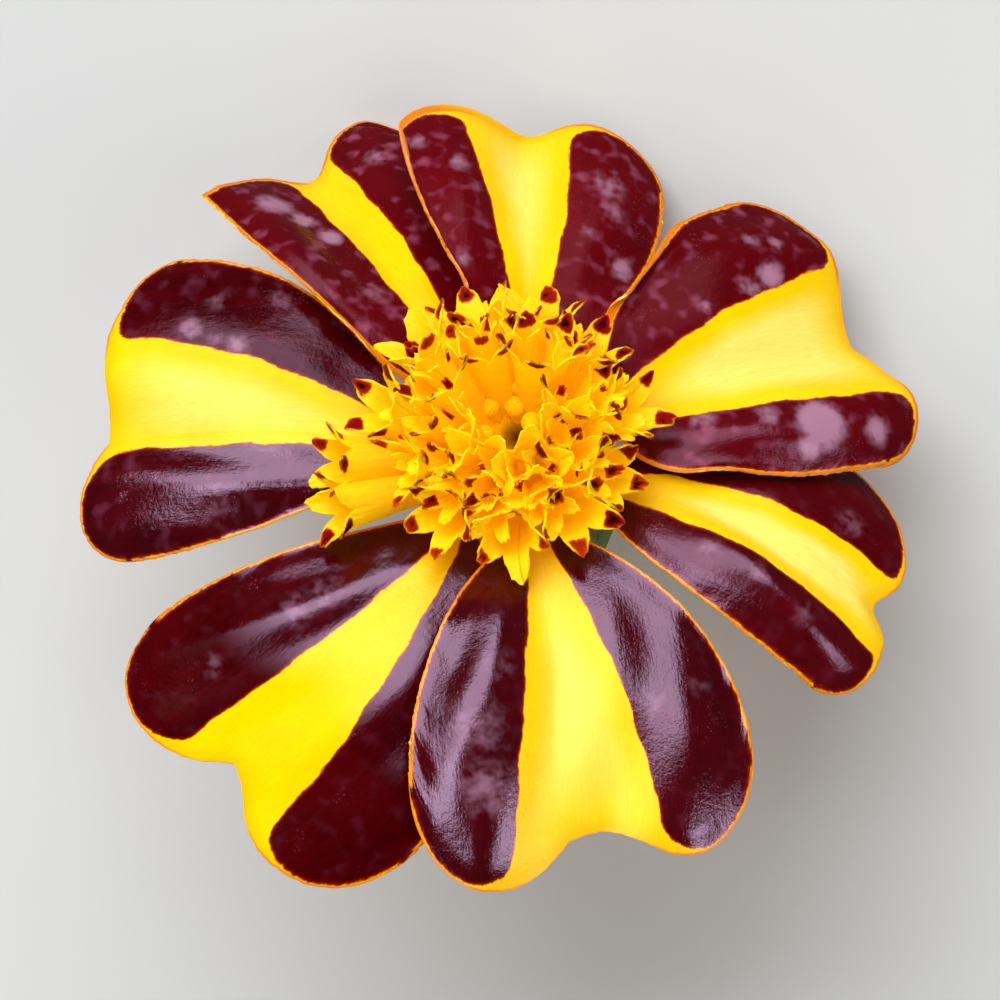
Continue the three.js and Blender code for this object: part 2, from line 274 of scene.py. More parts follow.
def node(tree, kind, *values, **settings):
    """Adds a shader node with those settings and input values."""
    made = tree.nodes.new(kind)
    for setting, value in settings.items():
        setattr(made, setting, value)
    fill(tree, made.inputs, values)
    return made


def math_node(tree, operation, *values):
    return node(tree, "ShaderNodeMath", *values, operation=operation).outputs[0]


def times(tree, first, second):
    return math_node(tree, "MULTIPLY", first, second)


def remap(tree, value, low, high, to_low=0.0, to_high=1.0, smooth_step=True):
    kind = "SMOOTHSTEP" if smooth_step else "LINEAR"
    made = node(tree, "ShaderNodeMapRange", value, low, high, to_low, to_high, interpolation_type=kind)
    return made.outputs[0]


def colour_mix(tree, share, first, second):
    """Mixes two colours, each given as a socket or as three numbers."""
    made = node(tree, "ShaderNodeMix", share, data_type="RGBA")
    ends = [end if isinstance(end, bpy.types.NodeSocket) else (*end[:3], 1.0) for end in (first, second)]
    fill(tree, made.inputs[6:8], ends)
    return made.outputs[2]


def attribute(tree, name, output="Fac"):
    """A value that note() has kept for each point. Its output is Fac, or Vector for a vector."""
    return node(tree, "ShaderNodeAttribute", attribute_name=name).outputs[output]


def places(tree):
    """Where a point lies on its flat piece, in mm, and the three values of zone_mm."""
    zone = node(tree, "ShaderNodeSeparateXYZ", attribute(tree, "zone_mm", "Vector")).outputs
    return attribute(tree, "flat_mm", "Vector"), zone


def object_place(tree):
    """Object coordinates in mm."""
    place = node(tree, "ShaderNodeTexCoord").outputs["Object"]
    return node(tree, "ShaderNodeVectorMath", place, (1 / MM,) * 3, operation="MULTIPLY").outputs[0]


def new_group(name, inputs, output):
    """A shader node group with those named inputs (name, default) and one output."""
    tree = bpy.data.node_groups.new(name, "ShaderNodeTree")
    for label, default in inputs:
        kind = "NodeSocketVector" if default is None else "NodeSocketFloat"
        socket = tree.interface.new_socket(label, in_out="INPUT", socket_type=kind)
        if default is not None:
            socket.default_value = default
    tree.interface.new_socket(output, in_out="OUTPUT", socket_type="NodeSocketFloat")
    return tree, tree.nodes.new("NodeGroupInput").outputs, tree.nodes.new("NodeGroupOutput").inputs


def use_group(tree, name, *values):
    """Adds a shared node group, which is built the first time that it is asked for: its output."""
    made = tree.nodes.new("ShaderNodeGroup")
    made.node_tree = bpy.data.node_groups.get(name) or GROUP_MAKERS[name]()
    fill(tree, made.inputs, values)
    return made.outputs[0]


def streaks_group():
    """Fine lines that run along the growth, in coordinates of millimetres across and along."""
    tree, given, result = new_group(
        "Growth streaks", [("Place", None), ("Lines per mm", 3.0), ("Stretch", 12.0)], "Streaks")
    along = math_node(tree, "DIVIDE", given["Lines per mm"], given["Stretch"])
    scale = node(tree, "ShaderNodeCombineXYZ", given["Lines per mm"], along, along).outputs[0]
    place = node(tree, "ShaderNodeVectorMath", given["Place"], scale, operation="MULTIPLY").outputs[0]
    noise = node(tree, "ShaderNodeTexNoise", place, None, 1.0, 4.0, 0.6)
    tree.links.new(remap(tree, noise.outputs[0], 0.3, 0.7, smooth_step=False), result["Streaks"])
    return tree


def ragged_group():
    """A mask that steps up where a distance in mm crosses zero, along a slightly ragged line."""
    tree, given, result = new_group(
        "Ragged step",
        [("Distance", 0.0), ("Place", None), ("Raggedness", 0.1), ("Softness", 0.1)], "Mask")
    scale = node(tree, "ShaderNodeVectorMath", given["Place"], (5.0, 1.6, 1.6), operation="MULTIPLY")
    noise = node(tree, "ShaderNodeTexNoise", scale.outputs[0], None, 1.0, 3.0, 0.6)
    jitter = math_node(tree, "SUBTRACT", noise.outputs[0], 0.5)
    moved = math_node(tree, "MULTIPLY_ADD", jitter, given["Raggedness"], given["Distance"])
    low = times(tree, given["Softness"], -0.5)
    high = times(tree, given["Softness"], 0.5)
    tree.links.new(remap(tree, moved, low, high), result["Mask"])
    return tree


def specks_group():
    """Small raised specks, thick in some patches and missing in others."""
    tree, given, result = new_group(
        "Specks", [("Place", None), ("Specks per mm", 3.0), ("Cover", 0.5)], "Specks")
    scaled = node(tree, "ShaderNodeVectorMath", given["Place"], operation="SCALE")
    tree.links.new(given["Specks per mm"], scaled.inputs["Scale"])
    cells = node(tree, "ShaderNodeTexVoronoi", scaled.outputs[0], None, 1.0)
    dots = remap(tree, cells.outputs["Distance"], 0.12, 0.5, 1.0, 0.0)
    shade = node(tree, "ShaderNodeSeparateXYZ", cells.outputs["Color"]).outputs[0]
    dots = times(tree, dots, remap(tree, shade, 0.3, 0.9))
    patches = node(tree, "ShaderNodeTexNoise", given["Place"], None, 0.45, 2.0, 0.5)
    low = math_node(tree, "SUBTRACT", 0.9, given["Cover"])
    high = math_node(tree, "SUBTRACT", 1.1, given["Cover"])
    shown = remap(tree, patches.outputs[0], low, high)
    tree.links.new(times(tree, dots, shown), result["Specks"])
    return tree


def drift_group():
    """Slow changes of tone over a piece, between 0 and 1."""
    tree, given, result = new_group("Tone drift", [("Place", None), ("Patches per mm", 0.3)], "Drift")
    noise = node(tree, "ShaderNodeTexNoise", given["Place"], None, given["Patches per mm"], 3.0, 0.55)
    tree.links.new(remap(tree, noise.outputs[0], 0.35, 0.65), result["Drift"])
    return tree


GROUP_MAKERS = {
    "Growth streaks": streaks_group,
    "Ragged step": ragged_group,
    "Specks": specks_group,
    "Tone drift": drift_group,
}


def surface(name):
    """A new material with its node tree and its Principled shader."""
    material = bpy.data.materials.new(name)
    material.use_nodes = True
    tree = material.node_tree
    shader = next(n for n in tree.nodes if n.type == "BSDF_PRINCIPLED")
    return material, tree, shader


def bumped(tree, height, depth):
    """The normal of a surface raised by that height, where 1 stands for depth mm."""
    bump = node(tree, "ShaderNodeBump", 1.0, depth * MM)
    tree.links.new(height, bump.inputs["Height"])
    return bump.outputs[0]


def fit(tree, shader, inputs):
    """Links or sets the shader's inputs of those names."""
    for name, value in inputs.items():
        fill(tree, [shader.inputs[name]], [value])


# Ray florets

# Left and right are a ray floret's sides as seen from its base. Lengths are in mm. Places in half widths
# run from 0 on the midline to 1 on the left margin and -1 on the right one.
# azimuth, rise, droop, roll and bend are degrees: where it stands, how it climbs at its base and at its tip,
# how it leans to a side, and how it turns along its length. lift raises its base.
# notch is the depth of the notch, notchAt its place and notchWidth its width across the tip in half widths.
# left and right widen a side, and lobeLeft and lobeRight lengthen it at the tip, as shares. shoulder, with
# squareLeft more on the left, is how far along the margin the tip's rounding starts. A low flare, left and
# right, reaches the full width early.
# humpLeft and humpRight scale the humps. curlLeft lifts the left margin, outward of curlStart. rideLeft and
# rideRight lift a whole side. foldLeft and foldRight turn the margin's last foldWidth up, by that many
# degrees, as far as foldEnd of the length.
# stripeLeft and stripeRight are the yellow stripe's edges at the base and at the tip, in half widths.
# tipBand is the width of yellow beyond a maroon zone, zoneRound the rounding of its corners, and rim, with
# rimLeft more on the left, the width of the orange edge.
# specks, ruby and pale are the strengths of the pale blotches, a painted sheen on the maroon, of the redder
# maroon and of the pale middle of the stripe, a painted highlight. gloss is the gloss of each side, and
# glossFade takes it away towards the tip.
# The last key lists pale patches painted on the maroon, a painted sheen and painted highlights: mm across,
# mm along, radius and strength.
RAY_SHAPE = {
    "rise": 9, "droop": -27, "roll": 0, "bend": 0, "lift": 0, "notchAt": 0, "notchWidth": 0.25,
    "left": 1, "right": 1, "lobeLeft": 0.1, "lobeRight": 0.1, "shoulder": 0.66, "squareLeft": 0,
    "flare": (0.8, 0.8), "humpLeft": 1, "humpRight": 1, "curlLeft": 0, "curlStart": 0.5, "rideLeft": 0,
    "rideRight": 0, "foldLeft": 0, "foldRight": 0, "foldWidth": 0.95, "foldEnd": 0.8, "tipBand": 0.6,
    "zoneRound": 0.9, "rim": 0.03, "rimLeft": 0, "specks": 0.1, "ruby": 0, "pale": 0.5, "gloss": (1, 1),
    "glossFade": 0, "painted_sheen": (),
}
RAYS = [
    {**RAY_SHAPE, "azimuth": 174, "rise": 11, "droop": -25, "roll": -12, "bend": 3, "length": 17.7,
     "width": 17.0, "notch": 0.4, "notchAt": -0.2, "left": 0.78, "right": 1.21, "lobeLeft": 0.22,
     "lobeRight": 0.02, "shoulder": 0.76, "flare": (1.0, 0.84), "humpLeft": 0.5, "rideRight": -0.5,
     "stripeLeft": (0.2, 0.1), "stripeRight": (-0.35, -0.56), "tipBand": 0.4, "specks": 0.3,
     "pale": 0.8, "gloss": (1, 0.3),
     "painted_sheen": ((-5.8, 12.8, 0.8, 0.7), (-5.2, 11.5, 0.6, 0.6), (-4.7, 10.3, 0.8, 0.7),
               (-7.5, 8.4, 0.9, 0.5), (-6.2, 6.6, 0.6, 0.45), (-7.4, 11.6, 0.8, 0.5), (4, 11, 1.9, 0.45))},
    {**RAY_SHAPE, "azimuth": 121, "droop": -27, "roll": 4, "bend": 3, "length": 18.3, "width": 15.5,
     "notch": 1.4, "notchAt": -0.04, "notchWidth": 0.24, "left": 0.84, "right": 1.05, "lobeLeft": -0.05,
     "lobeRight": 0.21, "shoulder": 0.87, "squareLeft": 0.13, "flare": (0.7, 0.95), "curlLeft": 2,
     "curlStart": 0.35, "rideLeft": 0.5, "rideRight": -0.7, "foldLeft": 70, "foldEnd": 1.2,
     "stripeLeft": (0.11, 0.185), "stripeRight": (-0.28, -0.2), "tipBand": 0.05, "zoneRound": 0.4,
     "rim": 0.08, "rimLeft": 0.1, "specks": 1, "ruby": 0.8, "pale": 0, "gloss": (0.2, 0.05),
     "painted_sheen": ((3.4, 14.6, 1.1, 0.9), (2.6, 13.2, 0.8, 0.9), (1.9, 11.5, 0.7, 0.95),
               (2.6, 8.4, 0.6, 0.5), (1.9, 7.0, 0.9, 0.6), (-3.7, 15.9, 0.9, 0.6))},
    {**RAY_SHAPE, "azimuth": 87, "rise": 9, "droop": -14, "roll": 10, "bend": 9, "lift": 0.9,
     "length": 15.2, "width": 15.6, "notch": 0.3, "notchAt": -0.1, "lobeLeft": 0.14, "lobeRight": 0.04,
     "shoulder": 0.74, "flare": (0.9, 0.86), "rideLeft": 0.8, "foldLeft": 165, "foldWidth": 1.25,
     "foldEnd": 1.2, "stripeLeft": (0.15, 0.48), "stripeRight": (-0.25, -0.33), "rim": 0.08,
     "rimLeft": 0.4, "specks": 0.9, "ruby": 1, "pale": 0.8, "gloss": (0.04, 0.05),
     "painted_sheen": ((6.0, 13.0, 0.7, 0.6), (4.0, 11.2, 0.7, 0.65), (3.1, 9.9, 0.5, 0.5),
               (3.7, 5.4, 0.6, 0.6), (-4.4, 11.0, 1.2, 0.62), (-4.6, 9.3, 1.0, 0.55),
               (-3.2, 7.9, 0.6, 0.5), (-5.2, 6.2, 0.7, 0.95))},
    {**RAY_SHAPE, "azimuth": 22, "rise": 7, "droop": -32, "roll": 4, "bend": 4, "lift": 1.0,
     "length": 15.5, "width": 17.2, "notch": 0.35, "notchAt": 0.1, "left": 1.18, "right": 0.84,
     "lobeLeft": 0.1, "lobeRight": 0.19, "shoulder": 0.74, "flare": (0.65, 0.5), "rideLeft": 0.6,
     "rideRight": 0.5, "foldLeft": 165, "foldRight": 60, "foldWidth": 1.2, "foldEnd": 0.35,
     "stripeLeft": (0.27, 0.47), "stripeRight": (-0.3, -0.52), "tipBand": 0.25, "rim": 0.1,
     "rimLeft": 0.3, "specks": 0.8, "ruby": 0.7, "pale": 1.2, "gloss": (0.03, 0.3),
     "painted_sheen": ((7.0, 11.2, 0.6, 0.65), (6.4, 12.4, 0.6, 0.65), (4.7, 11.4, 0.9, 0.85),
               (4.3, 9.9, 0.8, 0.7), (3.8, 7.0, 0.5, 0.65), (-4.6, 10.2, 1.25, 1.3),
               (-5.6, 9.3, 0.8, 1), (-5.5, 13.4, 0.8, 0.9), (-3.4, 7.6, 0.8, 0.7),
               (-2.2, 4.4, 0.9, 0.75))},
    {**RAY_SHAPE, "azimuth": -19, "rise": 13, "droop": -34, "roll": -9, "bend": -16, "length": 16.9,
     "width": 13.6, "notch": 1.0, "notchAt": 0.05, "notchWidth": 0.16, "left": 1.14, "right": 0.84,
     "lobeLeft": -0.05, "lobeRight": 0.14, "shoulder": 0.8, "squareLeft": -0.12, "flare": (0.65, 0.64),
     "rideLeft": -0.8, "stripeLeft": (0.29, 0.29), "stripeRight": (-0.3, -0.4), "tipBand": 0.25,
     "zoneRound": 0.5, "ruby": 0.3, "pale": 2.5, "gloss": (0.2, 0.7),
     "painted_sheen": ((3.3, 12.4, 1.1, 0.5), (-2.6, 6.5, 1, 0.5), (-3, 9.3, 1, 0.5), (-3.3, 12.4, 1, 0.45))},
    {**RAY_SHAPE, "azimuth": -81, "rise": 8, "roll": -4, "bend": -8, "lift": 0.7, "length": 18.9,
     "width": 18.4, "notch": 2.3, "notchAt": 0.2, "notchWidth": 0.34, "left": 1.08, "right": 0.9,
     "lobeLeft": 0.09, "lobeRight": 0.18, "shoulder": 0.63, "flare": (0.82, 0.82), "humpLeft": 0.75,
     "humpRight": 0.75, "rideRight": 1.0, "stripeLeft": (0.27, 0.5), "stripeRight": (-0.2, -0.4),
     "painted_sheen": ((-3.3, 8, 1.5, 0.45), (-4.6, 11.2, 2, 0.55), (-4.4, 14.4, 1.9, 0.6),
               (4.8, 10.6, 1.8, 0.45), (7.4, 9.6, 1, 0.4))},
    {**RAY_SHAPE, "azimuth": -126, "rise": 8, "droop": -19, "roll": -2, "bend": -16, "length": 19.1,
     "width": 18.2, "notch": 1.0, "notchAt": 0.05, "notchWidth": 0.2, "left": 1.08, "right": 1.0,
     "lobeLeft": 0.17, "lobeRight": 0.25, "flare": (0.95, 0.98), "humpRight": 0.5, "rideLeft": -0.8,
     "stripeLeft": (0.3, 0.42), "stripeRight": (-0.1, -0.3), "pale": 0, "glossFade": 1,
     "painted_sheen": ((-3, 8, 1.5, 0.5), (-3.6, 10, 1.5, 0.5), (-4.6, 15.4, 1, 0.5))},
]
RAY_COLUMNS = 104
CLAW_ROWS = 16
LAMINA_ROWS = 100
SPINE_STEPS = 40
SIDE_SAMPLES = 260
TIP_SAMPLES = 420
FLOOR_GAP = 0.02
FACE_RELIEF = 0.0042


def spine(ray, s):
    """Midline of a lamina at s mm from its base: the point, and the directions across and up."""
    share = (np.arange(SPINE_STEPS) + 0.5) / SPINE_STEPS
    azimuth = math.radians(ray["azimuth"])

    def heading(at):
        reach = at / ray["length"]
        pitch = np.radians(ray["rise"] + (ray["droop"] - ray["rise"]) * np.clip(reach, 0, 1.2))
        turn = np.radians(ray["azimuth"] + ray["bend"] * np.abs(reach) ** 1.5)
        return pitch, turn

    pitch, turn = heading(s[:, None] * share)
    way = np.stack([np.cos(pitch) * np.cos(turn), np.cos(pitch) * np.sin(turn), np.sin(pitch)], -1)
    start = np.array([
        math.cos(azimuth) * LAMINA_RADIUS, math.sin(azimuth) * LAMINA_RADIUS, LAMINA_HEIGHT + ray["lift"]])
    point = start + (way * (s / SPINE_STEPS)[:, None, None]).sum(1)
    pitch, turn = heading(s)
    leftward = np.stack([-np.sin(turn), np.cos(turn), 0 * turn], -1)
    upward = np.stack([-np.sin(pitch) * np.cos(turn), -np.sin(pitch) * np.sin(turn), np.cos(pitch)], -1)
    roll = np.radians(ray["roll"] * smooth(0, 0.5, s / ray["length"]))[:, None]
    across = leftward * np.cos(roll) + upward * np.sin(roll)
    up = upward * np.cos(roll) - leftward * np.sin(roll)
    return point, across, up


def outline_place(ray, u, v):
    """Where a point of the lamina lies when it is spread flat: mm across and mm along."""
    a = np.minimum(np.abs(v), 1)
    left = v > 0
    shoulder = ray["shoulder"] + np.where(left, ray["squareLeft"], 0)
    round_tip = shoulder + (1 - shoulder) * np.sqrt(np.maximum(1 - a ** 2.4, 0))
    lobe = 1 + np.where(left, ray["lobeLeft"], ray["lobeRight"]) * a
    notch = ray["notch"] / ray["length"] * np.exp(-(((v - ray["notchAt"]) / ray["notchWidth"]) ** 2))
    along = u * ray["length"] * (round_tip * lobe - notch)
    side = ray["width"] / 2 * np.where(left, ray["left"], ray["right"])
    spread = np.sin(math.pi / 2 * np.maximum(u, 0) ** np.where(left, *ray["flare"]))
    across = v * mix(LAMINA_BASE_HALF_WIDTH, side, spread)
    return across, along


def crinkle(ray, seed, u, v):
    """Small waves of the blade and of its edge, in mm: how far up, and how far out at the edge."""
    a = np.minimum(np.abs(v), 1)
    side = np.where(v > 0, 1, 2)
    edge_way = ray["length"] * u + 40 * side
    tip_way = ray["width"] / 2 * v
    ripple = 0.05 * waves(edge_way, seed, (4.9, 3.1)) * smooth(0.75, 1, a) * smooth(0.1, 0.4, u)
    tip_ripple = 0.07 * waves(tip_way, seed + 9, (4.7, 2.9)) * smooth(0.8, 1, u)
    swell_way = tip_way + 0.4 * ray["length"] * u
    swell = 0.16 * waves(swell_way, seed + 4, (7.3, 4.7)) * smooth(0.1, 0.5, u)
    out_side = 0.045 * waves(edge_way, seed + 2, (0.83, 0.47, 2.3)) * a ** 12 * smooth(0.1, 0.3, u)
    out_tip = 0.045 * waves(tip_way, seed + 6, (0.91, 0.53, 2.1)) * smooth(0.85, 1, u)
    return ripple + tip_ripple + swell, out_side, out_tip


def lamina(ray, seed, u, v):
    """Middle surface of the lamina, in the flower's frame, with its place when spread flat."""
    a = np.minimum(np.abs(v), 1)
    left = v > 0
    across_mm, along_mm = outline_place(ray, u, v)
    up_mm, out_side, out_tip = crinkle(ray, seed, u, v)
    reach = along_mm / ray["length"]
    grown = smooth(0.05, 0.6, reach)
    curl = np.where(left, ray["curlLeft"], 0) * smooth(ray["curlStart"], 1, a)
    ride = np.where(left, ray["rideLeft"], ray["rideRight"]) * smooth(0, 0.3, reach) * smooth(0, 0.8, a)
    soft = np.sqrt(v ** 2 + GROOVE ** 2) - GROOVE
    hump = HUMP * np.where(left, ray["humpLeft"], ray["humpRight"])
    hump = hump * np.sin(math.pi * soft / (math.hypot(1, GROOVE) - GROOVE))
    height = grown * (hump - EDGE_DROP * a ** 3 + curl) + ride + up_mm
    point, across, up = spine(ray, along_mm + out_tip)
    side_mm, rise_mm = folded(ray, u, v, across_mm)
    side_mm = side_mm + np.sign(v) * out_side
    placed = point + across * side_mm[:, None] + up * (height + rise_mm)[:, None]
    return placed, across_mm, along_mm


def folded(ray, u, v, across_mm):
    """Turns the last bit of a side's margin up and over: mm across, and mm up."""
    degrees = np.where(v > 0, ray["foldLeft"], ray["foldRight"])
    degrees = degrees * smooth(0.12, 0.3, u) * (1 - smooth(ray["foldEnd"], ray["foldEnd"] + 0.4, u))
    edge_mm, _ = outline_place(ray, u, np.where(v > 0, 1.0, -1.0))
    inward = np.abs(edge_mm) - np.abs(across_mm)
    run = np.clip(ray["foldWidth"] - inward, 0, ray["foldWidth"])
    angle = np.radians(degrees)
    radius = ray["foldWidth"] / np.maximum(angle, 1e-6)
    bent = run / radius
    kept = np.where(angle > 1e-3, radius * np.sin(bent), run)
    rise = np.where(angle > 1e-3, radius * (1 - np.cos(bent)), 0)
    side = np.sign(v) * (np.abs(across_mm) - run + kept)
    return side, rise


def claw(ray, share, v):
    """Middle surface of the claw: share runs from its foot (0) to the lamina's base (1)."""
    top = (LAMINA_RADIUS, LAMINA_HEIGHT + ray["lift"])
    lean = (LAMINA_RADIUS - CLAW_RADIUS) * math.tan(math.radians(ray["rise"]))
    t = np.linspace(0, 1, 24)[:, None]
    start = np.array([CLAW_RADIUS, CLAW_TOP_HEIGHT])
    pull = np.array([CLAW_RADIUS, top[1] - lean])
    bend = (1 - t) ** 2 * start + 2 * t * (1 - t) * pull + t ** 2 * np.array(top)
    path = np.vstack([[CLAW_FOOT], [CLAW_KNEE], bend])
    run = np.concatenate([[0], np.cumsum(np.hypot(*np.diff(path, axis=0).T))])
    way = share * run[-1]
    radius = np.interp(way, run, path[:, 0])
    height = np.interp(way, run, path[:, 1])
    knee = run[1]
    half = np.where(
        way < knee,
        mix(CLAW_FOOT_HALF_WIDTH, CLAW_HALF_WIDTH, way / knee),
        mix(CLAW_HALF_WIDTH, LAMINA_BASE_HALF_WIDTH, smooth(CLAW_RADIUS, LAMINA_RADIUS, radius)))
    azimuth = math.radians(ray["azimuth"])
    outward = np.array([math.cos(azimuth), math.sin(azimuth), 0])
    leftward = np.array([-math.sin(azimuth), math.cos(azimuth), 0])
    across_mm = v * half
    point = (outward * radius[:, None] + leftward * across_mm[:, None]
             + np.array([0, 0, 1]) * height[:, None])
    return point, across_mm, way - run[-1]


def edge_distance(ray, across_mm, along_mm):
    """Distance in mm from points of the flat lamina to its outline."""
    ends = np.linspace(0, 1, SIDE_SAMPLES)
    left = np.stack(outline_place(ray, ends, np.ones_like(ends)), -1)
    right = np.stack(outline_place(ray, ends, -np.ones_like(ends)), -1)
    tip_v = np.linspace(-1, 1, TIP_SAMPLES)
    tip = np.stack(outline_place(ray, np.ones_like(tip_v), tip_v), -1)
    outline = np.vstack([left, tip, right])
    points = np.stack([across_mm, along_mm], -1)
    return np.sqrt(((points[:, None, :] - outline[None, :, :]) ** 2).sum(-1).min(1))


def round_least(a, b, radius):
    """The lesser of two distances, with its corner rounded."""
    blend = np.clip(0.5 + 0.5 * (b - a) / radius, 0, 1)
    return mix(b, a, blend) - radius * blend * (1 - blend)


def maroon_depth(ray, seed, u, v, across_mm, margin_mm):
    """How far inside a maroon zone a point is, in mm: the zone ends in a round lobe short of the tip."""
    half = np.abs(outline_place(ray, u, np.where(v > 0, 1.0, -1.0))[0])
    wander = 0.09 * waves(u * ray["length"], seed + 3, (5.1, 2.7))
    left_edge = mix(*ray["stripeLeft"], u) * half + wander
    right_edge = mix(*ray["stripeRight"], u) * half + wander
    beside = np.maximum(across_mm - left_edge, right_edge - across_mm)
    near_stripe = np.exp(-(np.maximum(beside, 0) / 1.3) ** 2)
    band = 0.1 + ray["tipBand"] * near_stripe * smooth(0.8, 1, u)
    return round_least(beside, margin_mm - band, ray["zoneRound"])


def painted_sheen_strength(ray, across_mm, along_mm):
    """Strength of the painted sheen, pale patches that stand in for highlights on the maroon, at points of
    the flat lamina.
    """
    painted_sheen = np.zeros_like(across_mm)
    for across, along, radius, strength in ray["painted_sheen"]:
        off = np.hypot(across_mm - across, along_mm - along) / radius
        painted_sheen = np.maximum(painted_sheen, strength * np.exp(-0.7 * off ** 2))
    return painted_sheen


def ray_floret(number, ray, settings, materials):
    """One ray floret: a grid whose rows run from the claw's foot to the tip."""
    seed = 20 * number
    bpy.ops.object.select_all(action="DESELECT")
    bpy.ops.mesh.primitive_grid_add(
        x_subdivisions=RAY_COLUMNS, y_subdivisions=CLAW_ROWS + LAMINA_ROWS, size=2)
    piece = start_piece(f"ray_floret_{number}_blade")
    flat = coordinates(piece)
    even_v = -flat[:, 0]
    v = mix(even_v, np.sin(even_v * math.pi / 2), 0.7)
    row = (flat[:, 1] + 1) / 2 * (CLAW_ROWS + LAMINA_ROWS)
    on_claw = row < CLAW_ROWS - 0.5
    even_u = np.clip((row - CLAW_ROWS) / LAMINA_ROWS, 0, 1)
    u = mix(even_u, np.sin(even_u * math.pi / 2), 0.6)
    point, across_mm, along_mm = lamina(ray, seed, u, v)
    claw_share = np.clip(row / CLAW_ROWS, 0, 1)
    claw_point, claw_across, claw_along = claw(ray, claw_share, v)
    point[on_claw] = claw_point[on_claw]
    across_mm = np.where(on_claw, claw_across, across_mm)
    along_mm = np.where(on_claw, claw_along, along_mm)
    margin_mm = np.where(on_claw, 1.0, edge_distance(ray, across_mm, along_mm))
    folded_over = 1 - smooth(ray["foldEnd"], ray["foldEnd"] + 0.4, u)
    rim = ray["rim"] + np.where(v > 0, ray["rimLeft"], 0) * folded_over
    margin_mm = margin_mm - rim
    maroon = np.where(on_claw, -1.0, maroon_depth(ray, seed, u, v, across_mm, margin_mm))
    gloss = mix(ray["gloss"][1], ray["gloss"][0], smooth(-0.1, 0.1, v))
    gloss = gloss * (1 - ray["glossFade"] * smooth(0.45, 0.7, u))
    half_thickness = settings.blade_thickness / MM / 2
    move_points(piece, resting(point, half_thickness + FLOOR_GAP))
    note(piece, "flat_mm", np.stack([across_mm, along_mm, np.full_like(u, 7.0 * number)], -1))
    note(piece, "zone_mm", np.stack([maroon, margin_mm, u], -1))
    note(piece, "blotch_sheen_strength", np.full_like(u, ray["specks"]))
    note(piece, "ruby", np.full_like(u, ray["ruby"]))
    note(piece, "pale", ray["pale"] * smooth(0.15, 0.45, u) * (1 - smooth(0.75, 1, u)))
    note(piece, "gloss", gloss)
    note(piece, "painted_sheen", painted_sheen_strength(ray, across_mm, along_mm))
    for material in materials:
        piece.data.materials.append(material)
    thin = mix(settings.edge_share, 1.0, smooth(0, 1.2, margin_mm))
    thicken(piece, settings.blade_thickness, 0, back=1, rim=2, thin_edge=thin)
    return finish_piece(piece, "ray_florets", f"ray_floret_{number}")


